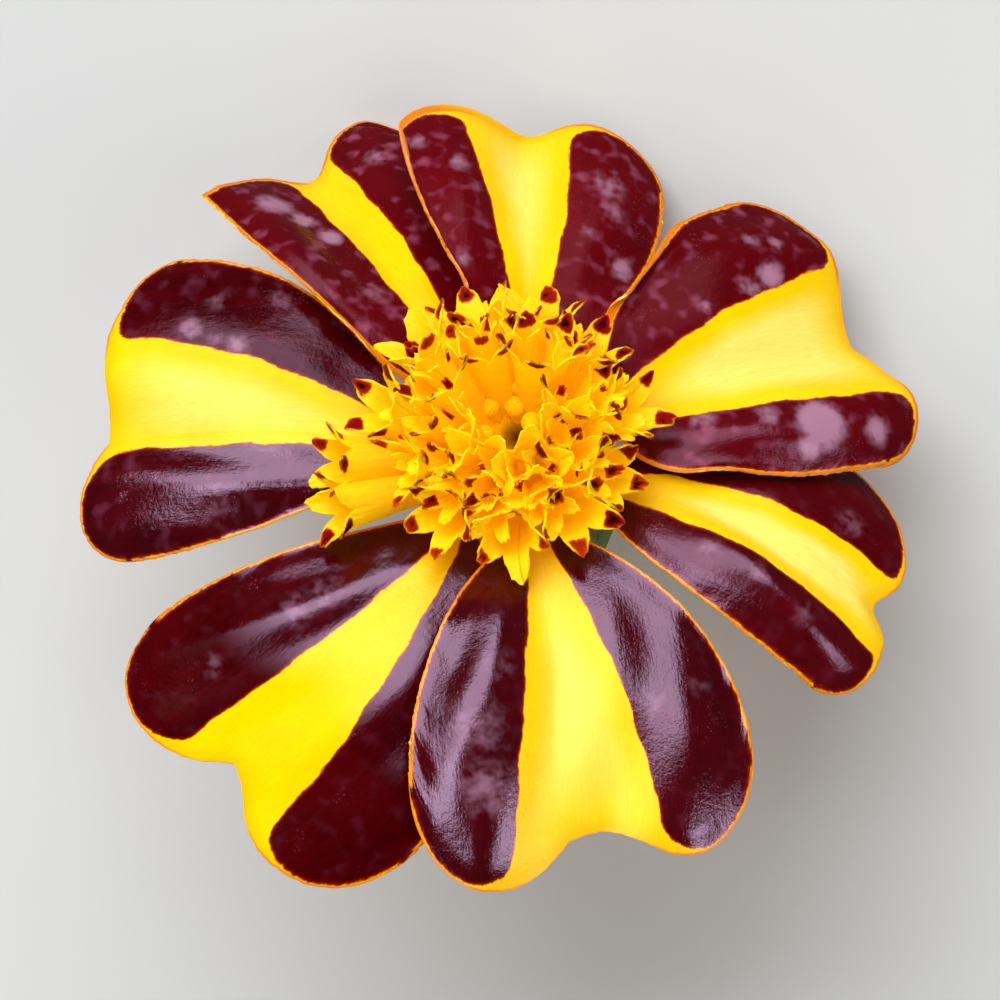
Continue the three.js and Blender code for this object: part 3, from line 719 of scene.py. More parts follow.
def ray_face_material(settings):
    """Upper face of a ray floret: maroon with a yellow stripe, glossy, with fine lines along it, and with
    painted highlights and sheen: pale specks, blotches and patches on the maroon and a pale middle to the
    stripe.
    """
    material, tree, shader = surface("ray_face")
    place, zone = places(tree)
    streaks = use_group(tree, "Growth streaks", place, 8.0, 7.0)
    broad = use_group(tree, "Growth streaks", place, 1.1, 7.0)
    drift = use_group(tree, "Tone drift", place, 0.28)
    specks = use_group(tree, "Specks", place, 7.0, 0.34)
    # Painted sheen: soft pale blotches on the maroon, as strong as each ray's specks.
    soft = node(tree, "ShaderNodeTexNoise", place, None, 1.1, 1.0, 0.4).outputs[0]
    blotch_sheen_strength = attribute(tree, "blotch_sheen_strength")
    painted_sheen_blotches = times(tree, remap(tree, soft, 0.52, 0.85), blotch_sheen_strength)
    ragged = node(tree, "ShaderNodeTexNoise", place, None, 1.7, 1.5, 0.5).outputs[0]
    # Painted sheen: the pale patches that each ray lists, which stand in for highlights on the maroon.
    painted_sheen = attribute(tree, "painted_sheen")
    painted_sheen_mask = math_node(tree, "MULTIPLY_ADD", math_node(tree, "SUBTRACT", ragged, 0.5), 1.1, painted_sheen)
    painted_sheen_mask = remap(tree, painted_sheen_mask, 0.2, 0.8)
    painted_sheen_mask = times(tree, painted_sheen_mask, remap(tree, painted_sheen, 0.15, 0.9, 0.0, 0.9))
    maroon_mask = use_group(tree, "Ragged step", zone[0], place, 0.24, 0.12)
    fringe_mask = use_group(tree, "Ragged step", zone[0], place, 0.24, 0.5)
    rim_mask = remap(tree, zone[1], 0.0, 0.14, 1.0, 0.0)
    ruby = attribute(tree, "ruby")

    maroon = colour_mix(tree, broad, settings.maroon_dark, settings.maroon)
    redder = math_node(tree, "MULTIPLY_ADD", drift, 0.12, times(tree, ruby, 0.55))
    maroon = colour_mix(tree, redder, maroon, settings.ruby)
    maroon = colour_mix(tree, times(tree, streaks, 0.15), maroon, settings.maroon_light)
    # Painted highlights and sheen: pale blotches, specks and patches mixed into the maroon.
    maroon = colour_mix(tree, times(tree, painted_sheen_blotches, 0.4), maroon, settings.speck_highlight)
    maroon = colour_mix(tree, times(tree, specks, 0.25), maroon, settings.speck_highlight)
    maroon = colour_mix(tree, painted_sheen_mask, maroon, settings.painted_sheen)
    maroon = colour_mix(tree, fringe_mask, settings.fringe_red, maroon)
    yellow = colour_mix(tree, drift, settings.yellow, settings.yellow_deep)
    base_glow = remap(tree, zone[2], 0.0, 0.4, 1.0, 0.0)
    yellow = colour_mix(tree, times(tree, base_glow, 0.6), yellow, settings.yellow_gold)
    # Painted highlight: the pale middle of the stripe.
    pale = attribute(tree, "pale")
    middle = times(tree, remap(tree, zone[0], -0.5, -2.3), pale)
    yellow = colour_mix(tree, middle, yellow, settings.yellow_highlight)
    lines = math_node(tree, "MULTIPLY_ADD", broad, 0.15, times(tree, streaks, 0.25))
    yellow = colour_mix(tree, lines, yellow, settings.yellow_gold)
    margin = remap(tree, zone[1], 0.0, 0.8, 0.55, 0.0)
    yellow = colour_mix(tree, margin, yellow, settings.yellow_gold)
    colour = colour_mix(tree, maroon_mask, yellow, maroon)
    rim = colour_mix(tree, remap(tree, zone[0], -1.4, -0.4), settings.yellow_gold, settings.edge_orange)
    colour = colour_mix(tree, rim_mask, colour, rim)

    rough = remap(tree, streaks, 0.0, 1.0, 0.07, 0.13, smooth_step=False)
    rough = math_node(tree, "MULTIPLY_ADD", ruby, 0.12, rough)
    rough = node(tree, "ShaderNodeMix", maroon_mask, None, 0.32, rough, data_type="FLOAT").outputs[0]
    cells = node(tree, "ShaderNodeTexNoise", place, None, 3.2, 4.0, 0.65).outputs[0]
    relief = math_node(tree, "MULTIPLY_ADD", broad, 2.0, times(tree, streaks, 0.8))
    relief = math_node(tree, "MULTIPLY_ADD", cells, 5.0, relief)
    speck_height = times(tree, specks, maroon_mask)
    relief = math_node(tree, "MULTIPLY_ADD", speck_height, 3.0, relief)
    tint = colour_mix(tree, remap(tree, zone[0], -0.06, 0.06), (0.5, 0.55, 0.3), (1.0, 0.68, 1.0))
    tint = colour_mix(tree, attribute(tree, "gloss"), (0.0, 0.0, 0.0), tint)
    fit(tree, shader, {
        "Base Color": colour, "Roughness": rough, "Normal": bumped(tree, relief, FACE_RELIEF),
        "Specular IOR Level": 0.36, "Specular Tint": tint})
    return material


def ray_back_material(settings):
    """Under face of a ray floret: dull golden orange, flushed red under the maroon."""
    material, tree, shader = surface("ray_back")
    place, zone = places(tree)
    streaks = use_group(tree, "Growth streaks", place, 3.0, 18.0)
    drift = use_group(tree, "Tone drift", place, 0.35)
    flush = use_group(tree, "Ragged step", zone[0], place, 1.2, 1.6)
    gold = colour_mix(tree, drift, settings.back_gold, settings.edge_orange)
    red = colour_mix(tree, streaks, settings.back_red, settings.edge_orange)
    share = times(tree, flush, 0.8)
    colour = colour_mix(tree, share, gold, red)
    green = remap(tree, zone[2], 0.0, 0.25, 0.55, 0.0)
    colour = colour_mix(tree, green, colour, settings.claw_green)
    rim_mask = remap(tree, zone[1], 0.1, 0.6, 0.8, 0.0)
    colour = colour_mix(tree, rim_mask, colour, settings.edge_orange)
    fit(tree, shader, {
        "Base Color": colour, "Roughness": remap(tree, streaks, 0.0, 1.0, 0.45, 0.6),
        "Normal": bumped(tree, streaks, 0.05)})
    return material


def ray_edge_material(settings):
    """Cut-thin edge all round a ray floret, where light shows through orange."""
    material, tree, shader = surface("ray_edge")
    place = attribute(tree, "flat_mm", "Vector")
    drift = use_group(tree, "Tone drift", place, 1.4)
    colour = colour_mix(tree, drift, settings.edge_orange, settings.yellow_deep)
    fit(tree, shader, {"Base Color": colour, "Roughness": remap(tree, drift, 0.0, 1.0, 0.4, 0.55)})
    return material


class RayFloretSettings(bpy.types.PropertyGroup):
    """Sizes and colours of the ray florets."""

    blade_thickness: bpy.props.FloatProperty(
        name="Blade thickness", description="Thickness of a blade away from its edge",
        default=0.0003, min=0.0001, max=0.0006, precision=5, subtype="DISTANCE", unit="LENGTH")
    edge_share: bpy.props.FloatProperty(
        name="Edge share", description="Share of the blade's thickness that is left at its edge",
        default=0.4, min=0.2, max=1.0, subtype="FACTOR")
    maroon: colour_setting("Maroon", "Colour of the maroon zones", 64, 1, 4)
    maroon_dark: colour_setting("Dark maroon", "Darkest lines of the maroon zones", 42, 0, 2)
    maroon_light: colour_setting("Light maroon", "Lightest lines of the maroon zones", 106, 6, 16)
    ruby: colour_setting("Ruby", "Redder maroon of the florets that are less dark", 112, 7, 17)
    # Painted highlight: pale colour of the specks and blotches on the maroon.
    speck_highlight: colour_setting("Speck highlight", "Pale specks that stand on the maroon", 192, 98, 132)
    # Painted sheen: pale patches on the maroon that stand in for highlights.
    painted_sheen: colour_setting("Painted sheen", "Painted sheen and highlights on the maroon", 176, 124, 148)
    fringe_red: colour_setting("Fringe red", "Narrow red line where maroon meets yellow", 190, 30, 6)
    yellow: colour_setting("Yellow", "Colour of the stripe", 252, 214, 0)
    # Painted highlight down the middle of the stripe.
    yellow_highlight: colour_setting("Yellow highlight", "Middle of the stripe", 255, 232, 112)
    yellow_deep: colour_setting("Deep yellow", "Deeper patches of the stripe", 255, 206, 0)
    yellow_gold: colour_setting("Gold", "Lines and base of the stripe", 250, 176, 0)
    edge_orange: colour_setting("Edge orange", "Colour of the thin edge", 226, 122, 20)
    back_gold: colour_setting("Back gold", "Under face below the stripe", 236, 186, 44)
    back_red: colour_setting("Back red", "Under face below the maroon", 176, 66, 30)
    claw_green: colour_setting("Claw green", "Pale green of the claws", 190, 190, 90)


class MARIGOLD_OT_ray_florets(bpy.types.Operator):
    """Models the seven ray florets, each with its claw, on the lines of the part's source"""

    bl_idname = "marigold.ray_florets"
    bl_label = "Ray florets"

    def execute(self, context):
        settings = context.scene.marigold_rays
        materials = [ray_face_material(settings), ray_back_material(settings), ray_edge_material(settings)]
        for index, ray in enumerate(RAYS):
            ray_floret(index + 1, ray, settings, materials)
        return {"FINISHED"}


# Disc florets

# A ring places its florets by azimuth, from first on, over arc degrees. foot and mouth are distances from
# the axis and heights, size is the size of the lobes, key picks the draws, open says how far the florets
# have opened, girth is the tube's radius as a share of size, and spotted the share of lobes with a spot.
LOBES = 5
LOBE_COLUMNS = 16
TRUMPET_ROWS = 20
TRUMPET_WALL = 0.11
OUTER_RING = {"count": 11, "first": 8, "foot": (2.2, 0.8), "mouth": (6.3, 4.6), "size": 1.0, "key": 1,
              "spotted": 0.85}
INNER_RING = {"count": 8, "first": 20, "foot": (1.6, 1.5), "mouth": (3.9, 6.0), "size": 0.92, "key": 2,
              "girth": 0.8, "spotted": 0.5}
BUD_RINGS = [
    {"count": 7, "first": 30, "foot": (1.0, 1.5), "mouth": (1.5, 3.7), "size": 0.58, "key": 3},
    {"count": 12, "first": 50, "foot": (1.5, 1.5), "mouth": (2.4, 4.3), "size": 0.58, "key": 7},
]
CROWN_SHIFT = -0.6
CROWN_SLOPE = 0.6
FAR_FLORETS = [
    {"foot": (-2.2, -0.4, 1.0), "mouth": (-9.6, -2.4, 4.4), "size": 0.9, "spin": 0.3, "open": 1,
     "girth": 0.5, "spotted": 0.8},
    {"foot": (-2.0, -1.2, 1.0), "mouth": (-9.6, -4.6, 3.6), "size": 0.9, "spin": 0.9, "open": 1,
     "girth": 0.5, "spotted": 0.8},
]
# Younger florets, which the part's source leaves out, fill the crown between the outer and the inner ring
FILL_RINGS = [
    {"count": 12, "first": 24, "foot": (1.9, 1.2), "mouth": (5.5, 5.0), "size": 0.72, "key": 4, "open": 0.8,
     "spotted": 0.35},
    {"count": 10, "first": 41, "foot": (1.6, 1.5), "mouth": (4.6, 5.7), "size": 0.66, "key": 6, "open": 0.7,
     "spotted": 0.4},
    {"count": 8, "first": 165, "foot": (1.4, 1.6), "mouth": (2.9, 5.6), "size": 0.6, "key": 5,
     "open": 0.5, "arc": 230, "spotted": 0.4},
]


def draws(seed, purpose, count=LOBES):
    """A draw for each lobe of a floret, or for each of count columns."""
    return np.array([draw(seed + k, purpose) for k in range(count)])


def on_circle(radius, azimuth, height):
    return np.array([radius * math.cos(azimuth), radius * math.sin(azimuth), height])


def floret_ring(count, first, foot, mouth, size, key, arc=360, open=1, girth=0.48, spotted=0.5):
    """Where the florets of a ring stand, by the rule and the draws of the part's source."""
    placed = []
    for i in range(count):
        azimuth = math.radians(first + arc * i / count + 4 * draw(i, key))
        radius = mouth[0] + 0.35 * draw(i, key + 10)
        height = mouth[1] + 0.35 * draw(i, key + 20) + CROWN_SLOPE * math.sin(azimuth)
        placed.append({
            "foot": on_circle(foot[0], azimuth, foot[1]),
            "mouth": on_circle(radius, azimuth, height) + np.array([CROWN_SHIFT, 0, 0]),
            "size": size * (1 + 0.08 * draw(i, key + 30)),
            "spin": math.pi * draw(i, key + 40),
            "open": open,
            "girth": girth * size,
            "spotted": spotted,
        })
    return placed


def floret_length(floret):
    return float(np.linalg.norm(np.asarray(floret["mouth"]) - np.asarray(floret["foot"])))


def stood(points, floret):
    """Stands points drawn round +Z on a floret's line from foot to mouth."""
    foot = np.asarray(floret["foot"], float)
    way = np.asarray(floret["mouth"], float) - foot
    turn = Vector((0, 0, 1)).rotation_difference(Vector(way).normalized()).to_matrix()
    spin = Matrix.Rotation(floret["spin"], 3, "Z")
    return points @ np.array(turn @ spin).T + foot


def trumpet(model, floret, seed, material):
    """A copy of the plain tube, drawn into one open floret with five pointed lobes."""
    piece = copy_of(model)
    angle, ring, _ = tube_places(piece)
    ring = ring / (TRUMPET_ROWS - 1)
    size = floret["size"]
    length = floret_length(floret)

    sector = np.mod(angle / (2 * math.pi) * LOBES, LOBES)
    lobe = np.floor(sector).astype(int) % LOBES
    x = 2 * (sector - np.floor(sector)) - 1
    tip_rise = 1.35 * size * (1 + 0.16 * draws(seed, 61)[lobe])
    tip_lean = 0.32 + 0.14 * draws(seed, 62)[lobe]
    column = np.rint(sector * LOBE_COLUMNS).astype(int)
    columns = LOBES * LOBE_COLUMNS + 1
    jag = 0.09 * draws(seed, 63, columns)[column]
    notch_height = length - 0.4 * size
    opened = floret["open"]
    bluntness = 1.6 + 1.4 * (1 - opened)
    outline = notch_height + tip_rise * (1 - np.abs(x) ** bluntness) + jag * (1 - np.abs(x) ** 4)
    bend_ring = 0.38
    bend_height = 0.74 * length
    lower = ring / bend_ring * bend_height
    upper_share = np.clip((ring - bend_ring) / (1 - bend_ring), 0, 1)
    z = np.where(ring < bend_ring, lower, mix(bend_height, outline, upper_share))
    rest = np.maximum(z - length + 0.3, 0)
    flare = 0.95 * size * opened * (np.minimum(z, length + 2) / length) ** 1.4
    radius = floret["girth"] + flare + (tip_lean - 0.2 * (1 - opened)) * rest ** 2
    radius = np.maximum(radius, 0.12)
    fold = smooth(bend_height, notch_height + 0.6 * tip_rise, z)
    frill = draws(seed, 66, columns)[column]
    radius = radius + 0.1 * size * fold * (0.5 - np.abs(x)) + 0.045 * fold * frill
    narrow = 1 - 0.06 * fold * x ** 2
    move_points(piece, resting(stood(round_axis(radius * narrow, angle, z), floret)))

    half_width = radius * math.pi / LOBES
    slope = tip_rise / half_width
    edge_mm = (outline - z) / np.sqrt(1 + slope ** 2)
    from_tip = notch_height + tip_rise - z
    shown = draws(seed, 67)[lobe] < 2 * floret["spotted"] - 1
    spot_length = np.where(shown, 0.74 * (1 + 0.35 * draws(seed, 64)[lobe]), -1)
    droop = 0.6 * (x * half_width) ** 2
    beside_mm = edge_mm + 0.03 - 0.2 * from_tip
    spot_mm = round_least(beside_mm, (spot_length - from_tip - droop) * 0.8, 0.12)
    strength = np.clip(0.9 + 0.4 * draws(seed, 65)[lobe], 0.6, 1)
    note(piece, "flat_mm", np.stack([angle * radius, z, np.full_like(z, 3.0 * seed)], -1))
    note(piece, "zone_mm", np.stack([spot_mm, edge_mm, length - z], -1))
    note(piece, "tint", strength)
    piece.data.materials.append(material)
    thicken(piece, TRUMPET_WALL * MM, -1)
    return piece


def disc_floret_material(settings):
    """Golden yellow of the disc florets, lighter on the lobes, with red tips. The deeper orange down the
    tube is painted shade, and a faint glow of the florets' own colour stands in for light through and
    between them.
    """
    material, tree, shader = surface("disc_floret")
    place, zone = places(tree)
    tint = attribute(tree, "tint")
    streaks = use_group(tree, "Growth streaks", place, 2.6, 10.0)
    drift = use_group(tree, "Tone drift", place, 0.8)
    specks = use_group(tree, "Specks", place, 24.0, 0.8)
    spot = use_group(tree, "Ragged step", zone[0], place, 0.1, 0.12)
    gold = colour_mix(tree, drift, settings.gold, settings.amber)
    lobes = remap(tree, zone[2], 1.2, -0.6, 0.0, 1.0)
    gold = colour_mix(tree, times(tree, lobes, 0.75), gold, settings.lemon)
    # Painted shade: a deeper orange down inside the tube, towards its foot.
    throat_shade = remap(tree, zone[2], 0.9, 3.6, 0.0, 0.9)
    gold = colour_mix(tree, throat_shade, gold, settings.throat_shade)
    red = colour_mix(tree, specks, settings.tip_dark, settings.tip_red)
    red = colour_mix(tree, tint, settings.tip_orange, red)
    core = remap(tree, zone[0], 0.06, 0.2)
    core = times(tree, core, remap(tree, drift, 0.4, 0.65, 1.0, 0.35))
    red = colour_mix(tree, core, red, settings.tip_core)
    colour = colour_mix(tree, spot, gold, red)
    relief = math_node(tree, "MULTIPLY_ADD", specks, 0.8, streaks)
    plain = remap(tree, zone[0], -0.06, 0.06, 1.0, 0.0)
    # The emission is a painted glow: the florets' own colour, standing in for light through and between
    # them.
    fit(tree, shader, {
        "Base Color": colour, "Roughness": remap(tree, streaks, 0.0, 1.0, 0.45, 0.62),
        "Normal": bumped(tree, relief, 0.03), "Emission Color": colour, "Emission Strength": 0.2,
        "Subsurface Weight": times(tree, plain, 0.4), "Subsurface Radius": (1.0, 0.7, 0.1),
        "Subsurface Scale": 0.8 * MM, "Specular IOR Level": 0.15,
        "Specular Tint": colour_mix(tree, plain, (0.12, 0.04, 0.04), (1.0, 0.9, 0.6))})
    return material


class DiscFloretSettings(bpy.types.PropertyGroup):
    """Colours of the disc florets."""

    gold: colour_setting("Gold", "Main colour of the trumpets", 255, 196, 0)
    amber: colour_setting("Amber", "Deeper patches of the trumpets", 250, 188, 4)
    lemon: colour_setting("Lemon", "Ends of the lobes", 255, 210, 8)
    # Painted shade inside the tubes.
    throat_shade: colour_setting("Throat shade", "Inside and foot of a trumpet", 236, 170, 6)
    tip_red: colour_setting("Tip red", "Spots at the lobes' tips", 176, 14, 10)
    tip_core: colour_setting("Tip core", "Middle of the spots", 34, 2, 4)
    tip_dark: colour_setting("Dark tip", "Darker part of the spots", 132, 4, 8)
    tip_orange: colour_setting("Faint tip", "Spots that are only faint", 220, 70, 0)
    bud: colour_setting("Bud", "Closed florets round the hollow", 236, 194, 8)
    # Painted shade: dark brown on the floor of the deep hollow.
    heart: colour_setting("Heart", "Floor of the hollow between the florets", 62, 14, 2)


class MARIGOLD_OT_disc_florets(bpy.types.Operator):
    """Models the open disc florets: one plain tube, copied and drawn into each five-lobed trumpet"""

    bl_idname = "marigold.disc_florets"
    bl_label = "Disc florets"

    def execute(self, context):
        material = disc_floret_material(context.scene.marigold_disc)
        model = tube("disc_floret_model", LOBES * LOBE_COLUMNS, TRUMPET_ROWS)
        rings = {
            "disc_florets_outer": floret_ring(**OUTER_RING) + FAR_FLORETS,
            "disc_florets_inner": floret_ring(**INNER_RING),
            "disc_florets_young": [floret for ring in FILL_RINGS for floret in floret_ring(**ring)],
        }
        seed = 0
        for name, florets in rings.items():
            made = []
            for floret in florets:
                seed += 7
                made.append(trumpet(model, floret, seed, material))
            finish_piece(join(made, name), "disc_florets", "disc_florets", angle=60)
        bpy.data.objects.remove(model)
        return {"FINISHED"}


BUD_COLUMNS = 20
BUD_ROWS = 12
CORE_COLUMNS = 48
CORE_ROWS = 30
# Profiles are points of distance from the axis and height, from the foot up
CORE_PROFILE = [
    (1.9, -10.6), (2.35, -9.4), (3.0, -6.8), (3.1, -5.5), (3.1, 1.2), (3.4, 2.2), (3.3, 2.9),
    (2.6, 3.5), (1.7, 3.2), (0.8, 2.7),
]


def profile_points(profile, count):
    """A profile of (radius, height) points, joined by straight lines and taken at even steps."""
    knots = np.array(profile, float)
    run = np.concatenate([[0], np.cumsum(np.hypot(*np.diff(knots, axis=0).T))])
    way = np.linspace(0, run[-1], count)
    return np.interp(way, run, knots[:, 0]), np.interp(way, run, knots[:, 1])


def heart_material(settings):
    """Floor and buds of the hollow: dull gold over brown. The brown floor and the darker feet of the buds
    are painted shade deep in the hollow, and a faint glow of their own colour stands in for light that
    reaches them.
    """
    material, tree, shader = surface("disc_heart")
    place = object_place(tree)
    drift = use_group(tree, "Tone drift", place, 0.9)
    specks = use_group(tree, "Specks", place, 12.0, 0.8)
    lift = attribute(tree, "lift")
    bud = colour_mix(tree, times(tree, drift, 0.4), settings.bud, settings.gold)
    # Painted shade: dark brown at the middle of the floor, rising to gold up the buds; the emission is a
    # painted glow.
    colour = colour_mix(tree, remap(tree, lift, 0.0, 0.6), settings.heart, settings.throat_shade)
    colour = colour_mix(tree, remap(tree, lift, 0.6, 1.0), colour, bud)
    fit(tree, shader, {
        "Base Color": colour, "Roughness": remap(tree, drift, 0.0, 1.0, 0.6, 0.75),
        "Normal": bumped(tree, specks, 0.05), "Emission Color": colour, "Emission Strength": 0.15,
        "Specular IOR Level": 0.03})
    return material


class MARIGOLD_OT_heart(bpy.types.Operator):
    """Models the core that the florets stand on, and the small closed buds in its hollow"""

    bl_idname = "marigold.heart"
    bl_label = "Heart of the disc"

    def execute(self, context):
        material = heart_material(context.scene.marigold_disc)
        core = tube("disc_core", CORE_COLUMNS, CORE_ROWS, cap_foot=True, cap_mouth=True)
        angle, ring, middle = tube_places(core)
        radii, heights = profile_points(CORE_PROFILE, CORE_ROWS)
        ring = np.clip(ring, 0, CORE_ROWS - 1)
        radius = np.where(middle, 0, radii[ring])
        move_points(core, resting(round_axis(radius, angle, heights[ring])))
        # lift holds the painted shade: dark in the middle of the floor.
        note(core, "lift", 0.55 * smooth(0.4, 1.3, radius))
        core.data.materials.append(material)
        face_outward(core)
        model = tube("bud_model", BUD_COLUMNS, BUD_ROWS, cap_mouth=True, cap_foot=True)
        placed = [floret for ring in BUD_RINGS for floret in floret_ring(**ring)]
        buds = [self.bud(model, floret, material) for floret in placed]
        bpy.data.objects.remove(model)
        finish_piece(join([core, *buds], "disc_heart"), "disc_florets", "disc_florets", angle=60)
        return {"FINISHED"}

    def bud(self, model, floret, material):
        """A closed floret: a slim tube under a round head with five shallow grooves."""
        piece = copy_of(model)
        angle, ring, middle = tube_places(piece)
        share = np.clip(ring / (BUD_ROWS - 1), 0, 1)
        length = floret_length(floret)
        head = floret["size"]
        stalk = 0.3
        on_head = np.clip((share - stalk) / (1 - stalk), 0, 1)
        polar = math.pi * mix(0.72, 0.03, on_head)
        radius = np.where(share < stalk, 0.7 * head, head * np.sin(polar))
        stalk_height = share / stalk * (length - 1.9 * head)
        z = np.where(share < stalk, stalk_height, length - head + head * np.cos(polar))
        radius = radius * (1 - 0.07 * np.abs(np.cos(2.5 * angle)) * smooth(0.4, 0.8, share))
        radius = np.where(middle, 0, radius)
        z = z + np.where(ring == BUD_ROWS, 0.01, 0)
        move_points(piece, resting(stood(round_axis(radius, angle, z), floret)))
        # The buds' feet are painted darker, as shade deep in the hollow.
        note(piece, "lift", mix(0.6, 1.0, smooth(0.2, 0.7, share)))
        piece.data.materials.append(material)
        face_outward(piece)
        return piece


# Involucre

BRACTS = 8
BRACT_COLUMNS = 16
INVOLUCRE_PROFILE = [
    (2.08, -14.1), (2.42, -13.85), (2.95, -13.2), (3.45, -12.5), (3.9, -11.7), (4.28, -10.7), (4.6, -9.6),
    (4.86, -8.3), (5.03, -7.2), (5.12, -6.2), (5.18, -5.0), (5.2, -3.6), (5.2, -2.9), (5.2, -2.1),
    (4.45, -2.1), (4.45, -2.9), (4.45, -3.6), (4.45, -6.2), (3.95, -9.1), (3.2, -11.1), (2.7, -12.1),
    (2.45, -12.7),
]
INVOLUCRE_RIM_ROWS = (13, 14)
INVOLUCRE_NEAR_RIM_ROWS = (12, 15)
INVOLUCRE_OUTER_ROWS = 14
INVOLUCRE_FOOT = -14.1
INVOLUCRE_RIM = -2.1
RIBS_FULL_AT = -9.0
TOOTH_HEIGHT = 1.0
GLAND_ROW = 0.95
GLAND_STEP = 1.9
GLAND_HALF_WIDTH = 0.12
GLAND_HALF_LENGTH = 0.5


def gland_mask(tree, place, from_rib):
    """Long oil glands in a row on each side of a bract's rib, from coordinates in mm."""
    bent = use_group(tree, "Tone drift", place, 0.6)
    row = math_node(tree, "MULTIPLY_ADD", bent, 0.3, GLAND_ROW - 0.15)
    beside = math_node(tree, "DIVIDE", math_node(tree, "SUBTRACT", from_rib, row), GLAND_HALF_WIDTH)
    height = node(tree, "ShaderNodeSeparateXYZ", place).outputs[1]
    cell = math_node(tree, "MULTIPLY_ADD", bent, 0.5, math_node(tree, "DIVIDE", height, GLAND_STEP))
    along = math_node(tree, "SUBTRACT", math_node(tree, "FRACT", cell), 0.5)
    along = times(tree, along, GLAND_STEP / GLAND_HALF_LENGTH)
    squares = math_node(tree, "MULTIPLY_ADD", along, along, times(tree, beside, beside))
    return remap(tree, squares, 0.5, 1.3, 1.0, 0.0)


def green_material(name, settings, ribs, glands):
    """Green skin of the involucre or the stem, with lighter ribs; glands says whether it has oil glands."""
    material, tree, shader = surface(name)
    place, zone = places(tree)
    streaks = use_group(tree, "Growth streaks", place, 2.4, 12.0)
    drift = use_group(tree, "Tone drift", place, 0.35)
    specks = use_group(tree, "Specks", place, 14.0, 0.7)
    colour = colour_mix(tree, drift, settings.green, settings.green_deep)
    rib = times(tree, zone[0], ribs)
    colour = colour_mix(tree, rib, colour, settings.green_light)
    colour = colour_mix(tree, times(tree, streaks, 0.3), colour, settings.green_light)
    blush = remap(tree, zone[1], 0.0, 1.6, 0.75, 0.0)
    colour = colour_mix(tree, blush, colour, settings.tip_blush)
    relief = math_node(tree, "MULTIPLY_ADD", specks, 0.4, streaks)
    if glands:
        pit = gland_mask(tree, place, zone[2])
        colour = colour_mix(tree, times(tree, pit, 0.85), colour, settings.gland)
        relief = math_node(tree, "MULTIPLY_ADD", pit, 1.5, relief)
    fit(tree, shader, {
        "Base Color": colour, "Roughness": remap(tree, streaks, 0.0, 1.0, 0.38, 0.55),
        "Normal": bumped(tree, relief, 0.04)})
    return material


class GreenSettings(bpy.types.PropertyGroup):
    """Colours of the involucre and the stem."""

    green: colour_setting("Green", "Main green", 104, 142, 56)
    green_deep: colour_setting("Deep green", "Darker patches", 76, 112, 44)
    green_light: colour_setting("Light green", "Ribs and fine lines", 150, 176, 88)
    tip_blush: colour_setting("Tip blush", "Reddish teeth of the involucre", 132, 92, 52)
    gland: colour_setting("Oil gland", "Dark oil glands along the bracts", 92, 66, 22)
    pith: colour_setting("Pith", "Pale middle of the cut end", 214, 220, 168)


class MARIGOLD_OT_involucre(bpy.types.Operator):
    """Models the involucre: eight bracts grown together edge to edge, with a tooth on each"""

    bl_idname = "marigold.involucre"
    bl_label = "Involucre"

    def execute(self, context):
        rows = len(INVOLUCRE_PROFILE)
        piece = tube("involucre_bracts", BRACTS * BRACT_COLUMNS, rows, closed=True)
        angle, row, _ = tube_places(piece)
        profile = np.array(INVOLUCRE_PROFILE)
        bract = np.cos(BRACTS * angle)
        outer = row < INVOLUCRE_OUTER_ROWS
        climb = smooth(INVOLUCRE_FOOT, RIBS_FULL_AT, profile[row, 1])
        rib = np.maximum(bract, 0) ** 6
        seam = np.maximum(-bract, 0) ** 10
        ridged = profile[row, 0] * (1 + 0.025 * climb * bract) + climb * (0.1 * rib - 0.12 * seam)
        radius = np.where(outer, ridged, profile[row, 0])
        point_up = 1 - np.abs(np.mod(angle * BRACTS / (2 * math.pi) + 0.5, 1) - 0.5) * 2
        tooth = TOOTH_HEIGHT * np.clip(point_up * 1.25 - 0.25, 0, 1) ** 1.2
        on_rim = np.isin(row, INVOLUCRE_RIM_ROWS)
        near_rim = np.isin(row, INVOLUCRE_NEAR_RIM_ROWS)
        lift = np.where(on_rim, tooth, np.where(near_rim, 0.45 * tooth, 0))
        z = profile[row, 1] + lift
        radius = radius - np.where(on_rim & outer, 0.12 * tooth, 0)
        move_points(piece, resting(round_axis(radius, angle, z)))
        note(piece, "flat_mm", np.stack([angle * radius, z, 0 * z], -1))
        rim_height = INVOLUCRE_RIM + tooth
        from_rib = np.arccos(np.clip(bract, -1, 1)) / BRACTS * radius
        note(piece, "zone_mm", np.stack([rib, rim_height - z, from_rib], -1))
        piece.data.materials.append(
            green_material("involucre_green", context.scene.marigold_greens, 0.7, True))
        face_outward(piece)
        finish_piece(piece, "involucre", "involucre", angle=60)
        return {"FINISHED"}


# Stem

STEM_PROFILE = [
    (1.42, -19.0), (1.5, -18.9), (1.5, -17.9), (1.5, -16.8), (1.58, -16.0), (1.7, -15.2), (1.88, -14.5),
    (2.06, -13.9), (2.1, -13.2), (2.1, -12.4), (2.0, -11.6), (1.7, -11.25), (1.4, -11.1),
]
STEM_COLUMNS = 48
STEM_ROWS = 34
FAR_FROM_TEETH = 9.0


def cut_material(settings):
    """Cut end of the stem: pale pith inside a ring of greener strands and the skin."""
    material, tree, shader = surface("stem_cut")
    place, zone = places(tree)
    drift = use_group(tree, "Tone drift", place, 2.0)
    moved = math_node(tree, "MULTIPLY_ADD", drift, 0.12, zone[2])
    colour = colour_mix(tree, remap(tree, moved, 0.5, 0.75), settings.pith, settings.green_light)
    colour = colour_mix(tree, remap(tree, moved, 0.86, 1.0), colour, settings.green)
    fit(tree, shader, {
        "Base Color": colour, "Roughness": remap(tree, drift, 0.0, 1.0, 0.4, 0.6),
        "Normal": bumped(tree, drift, 0.06)})
    return material


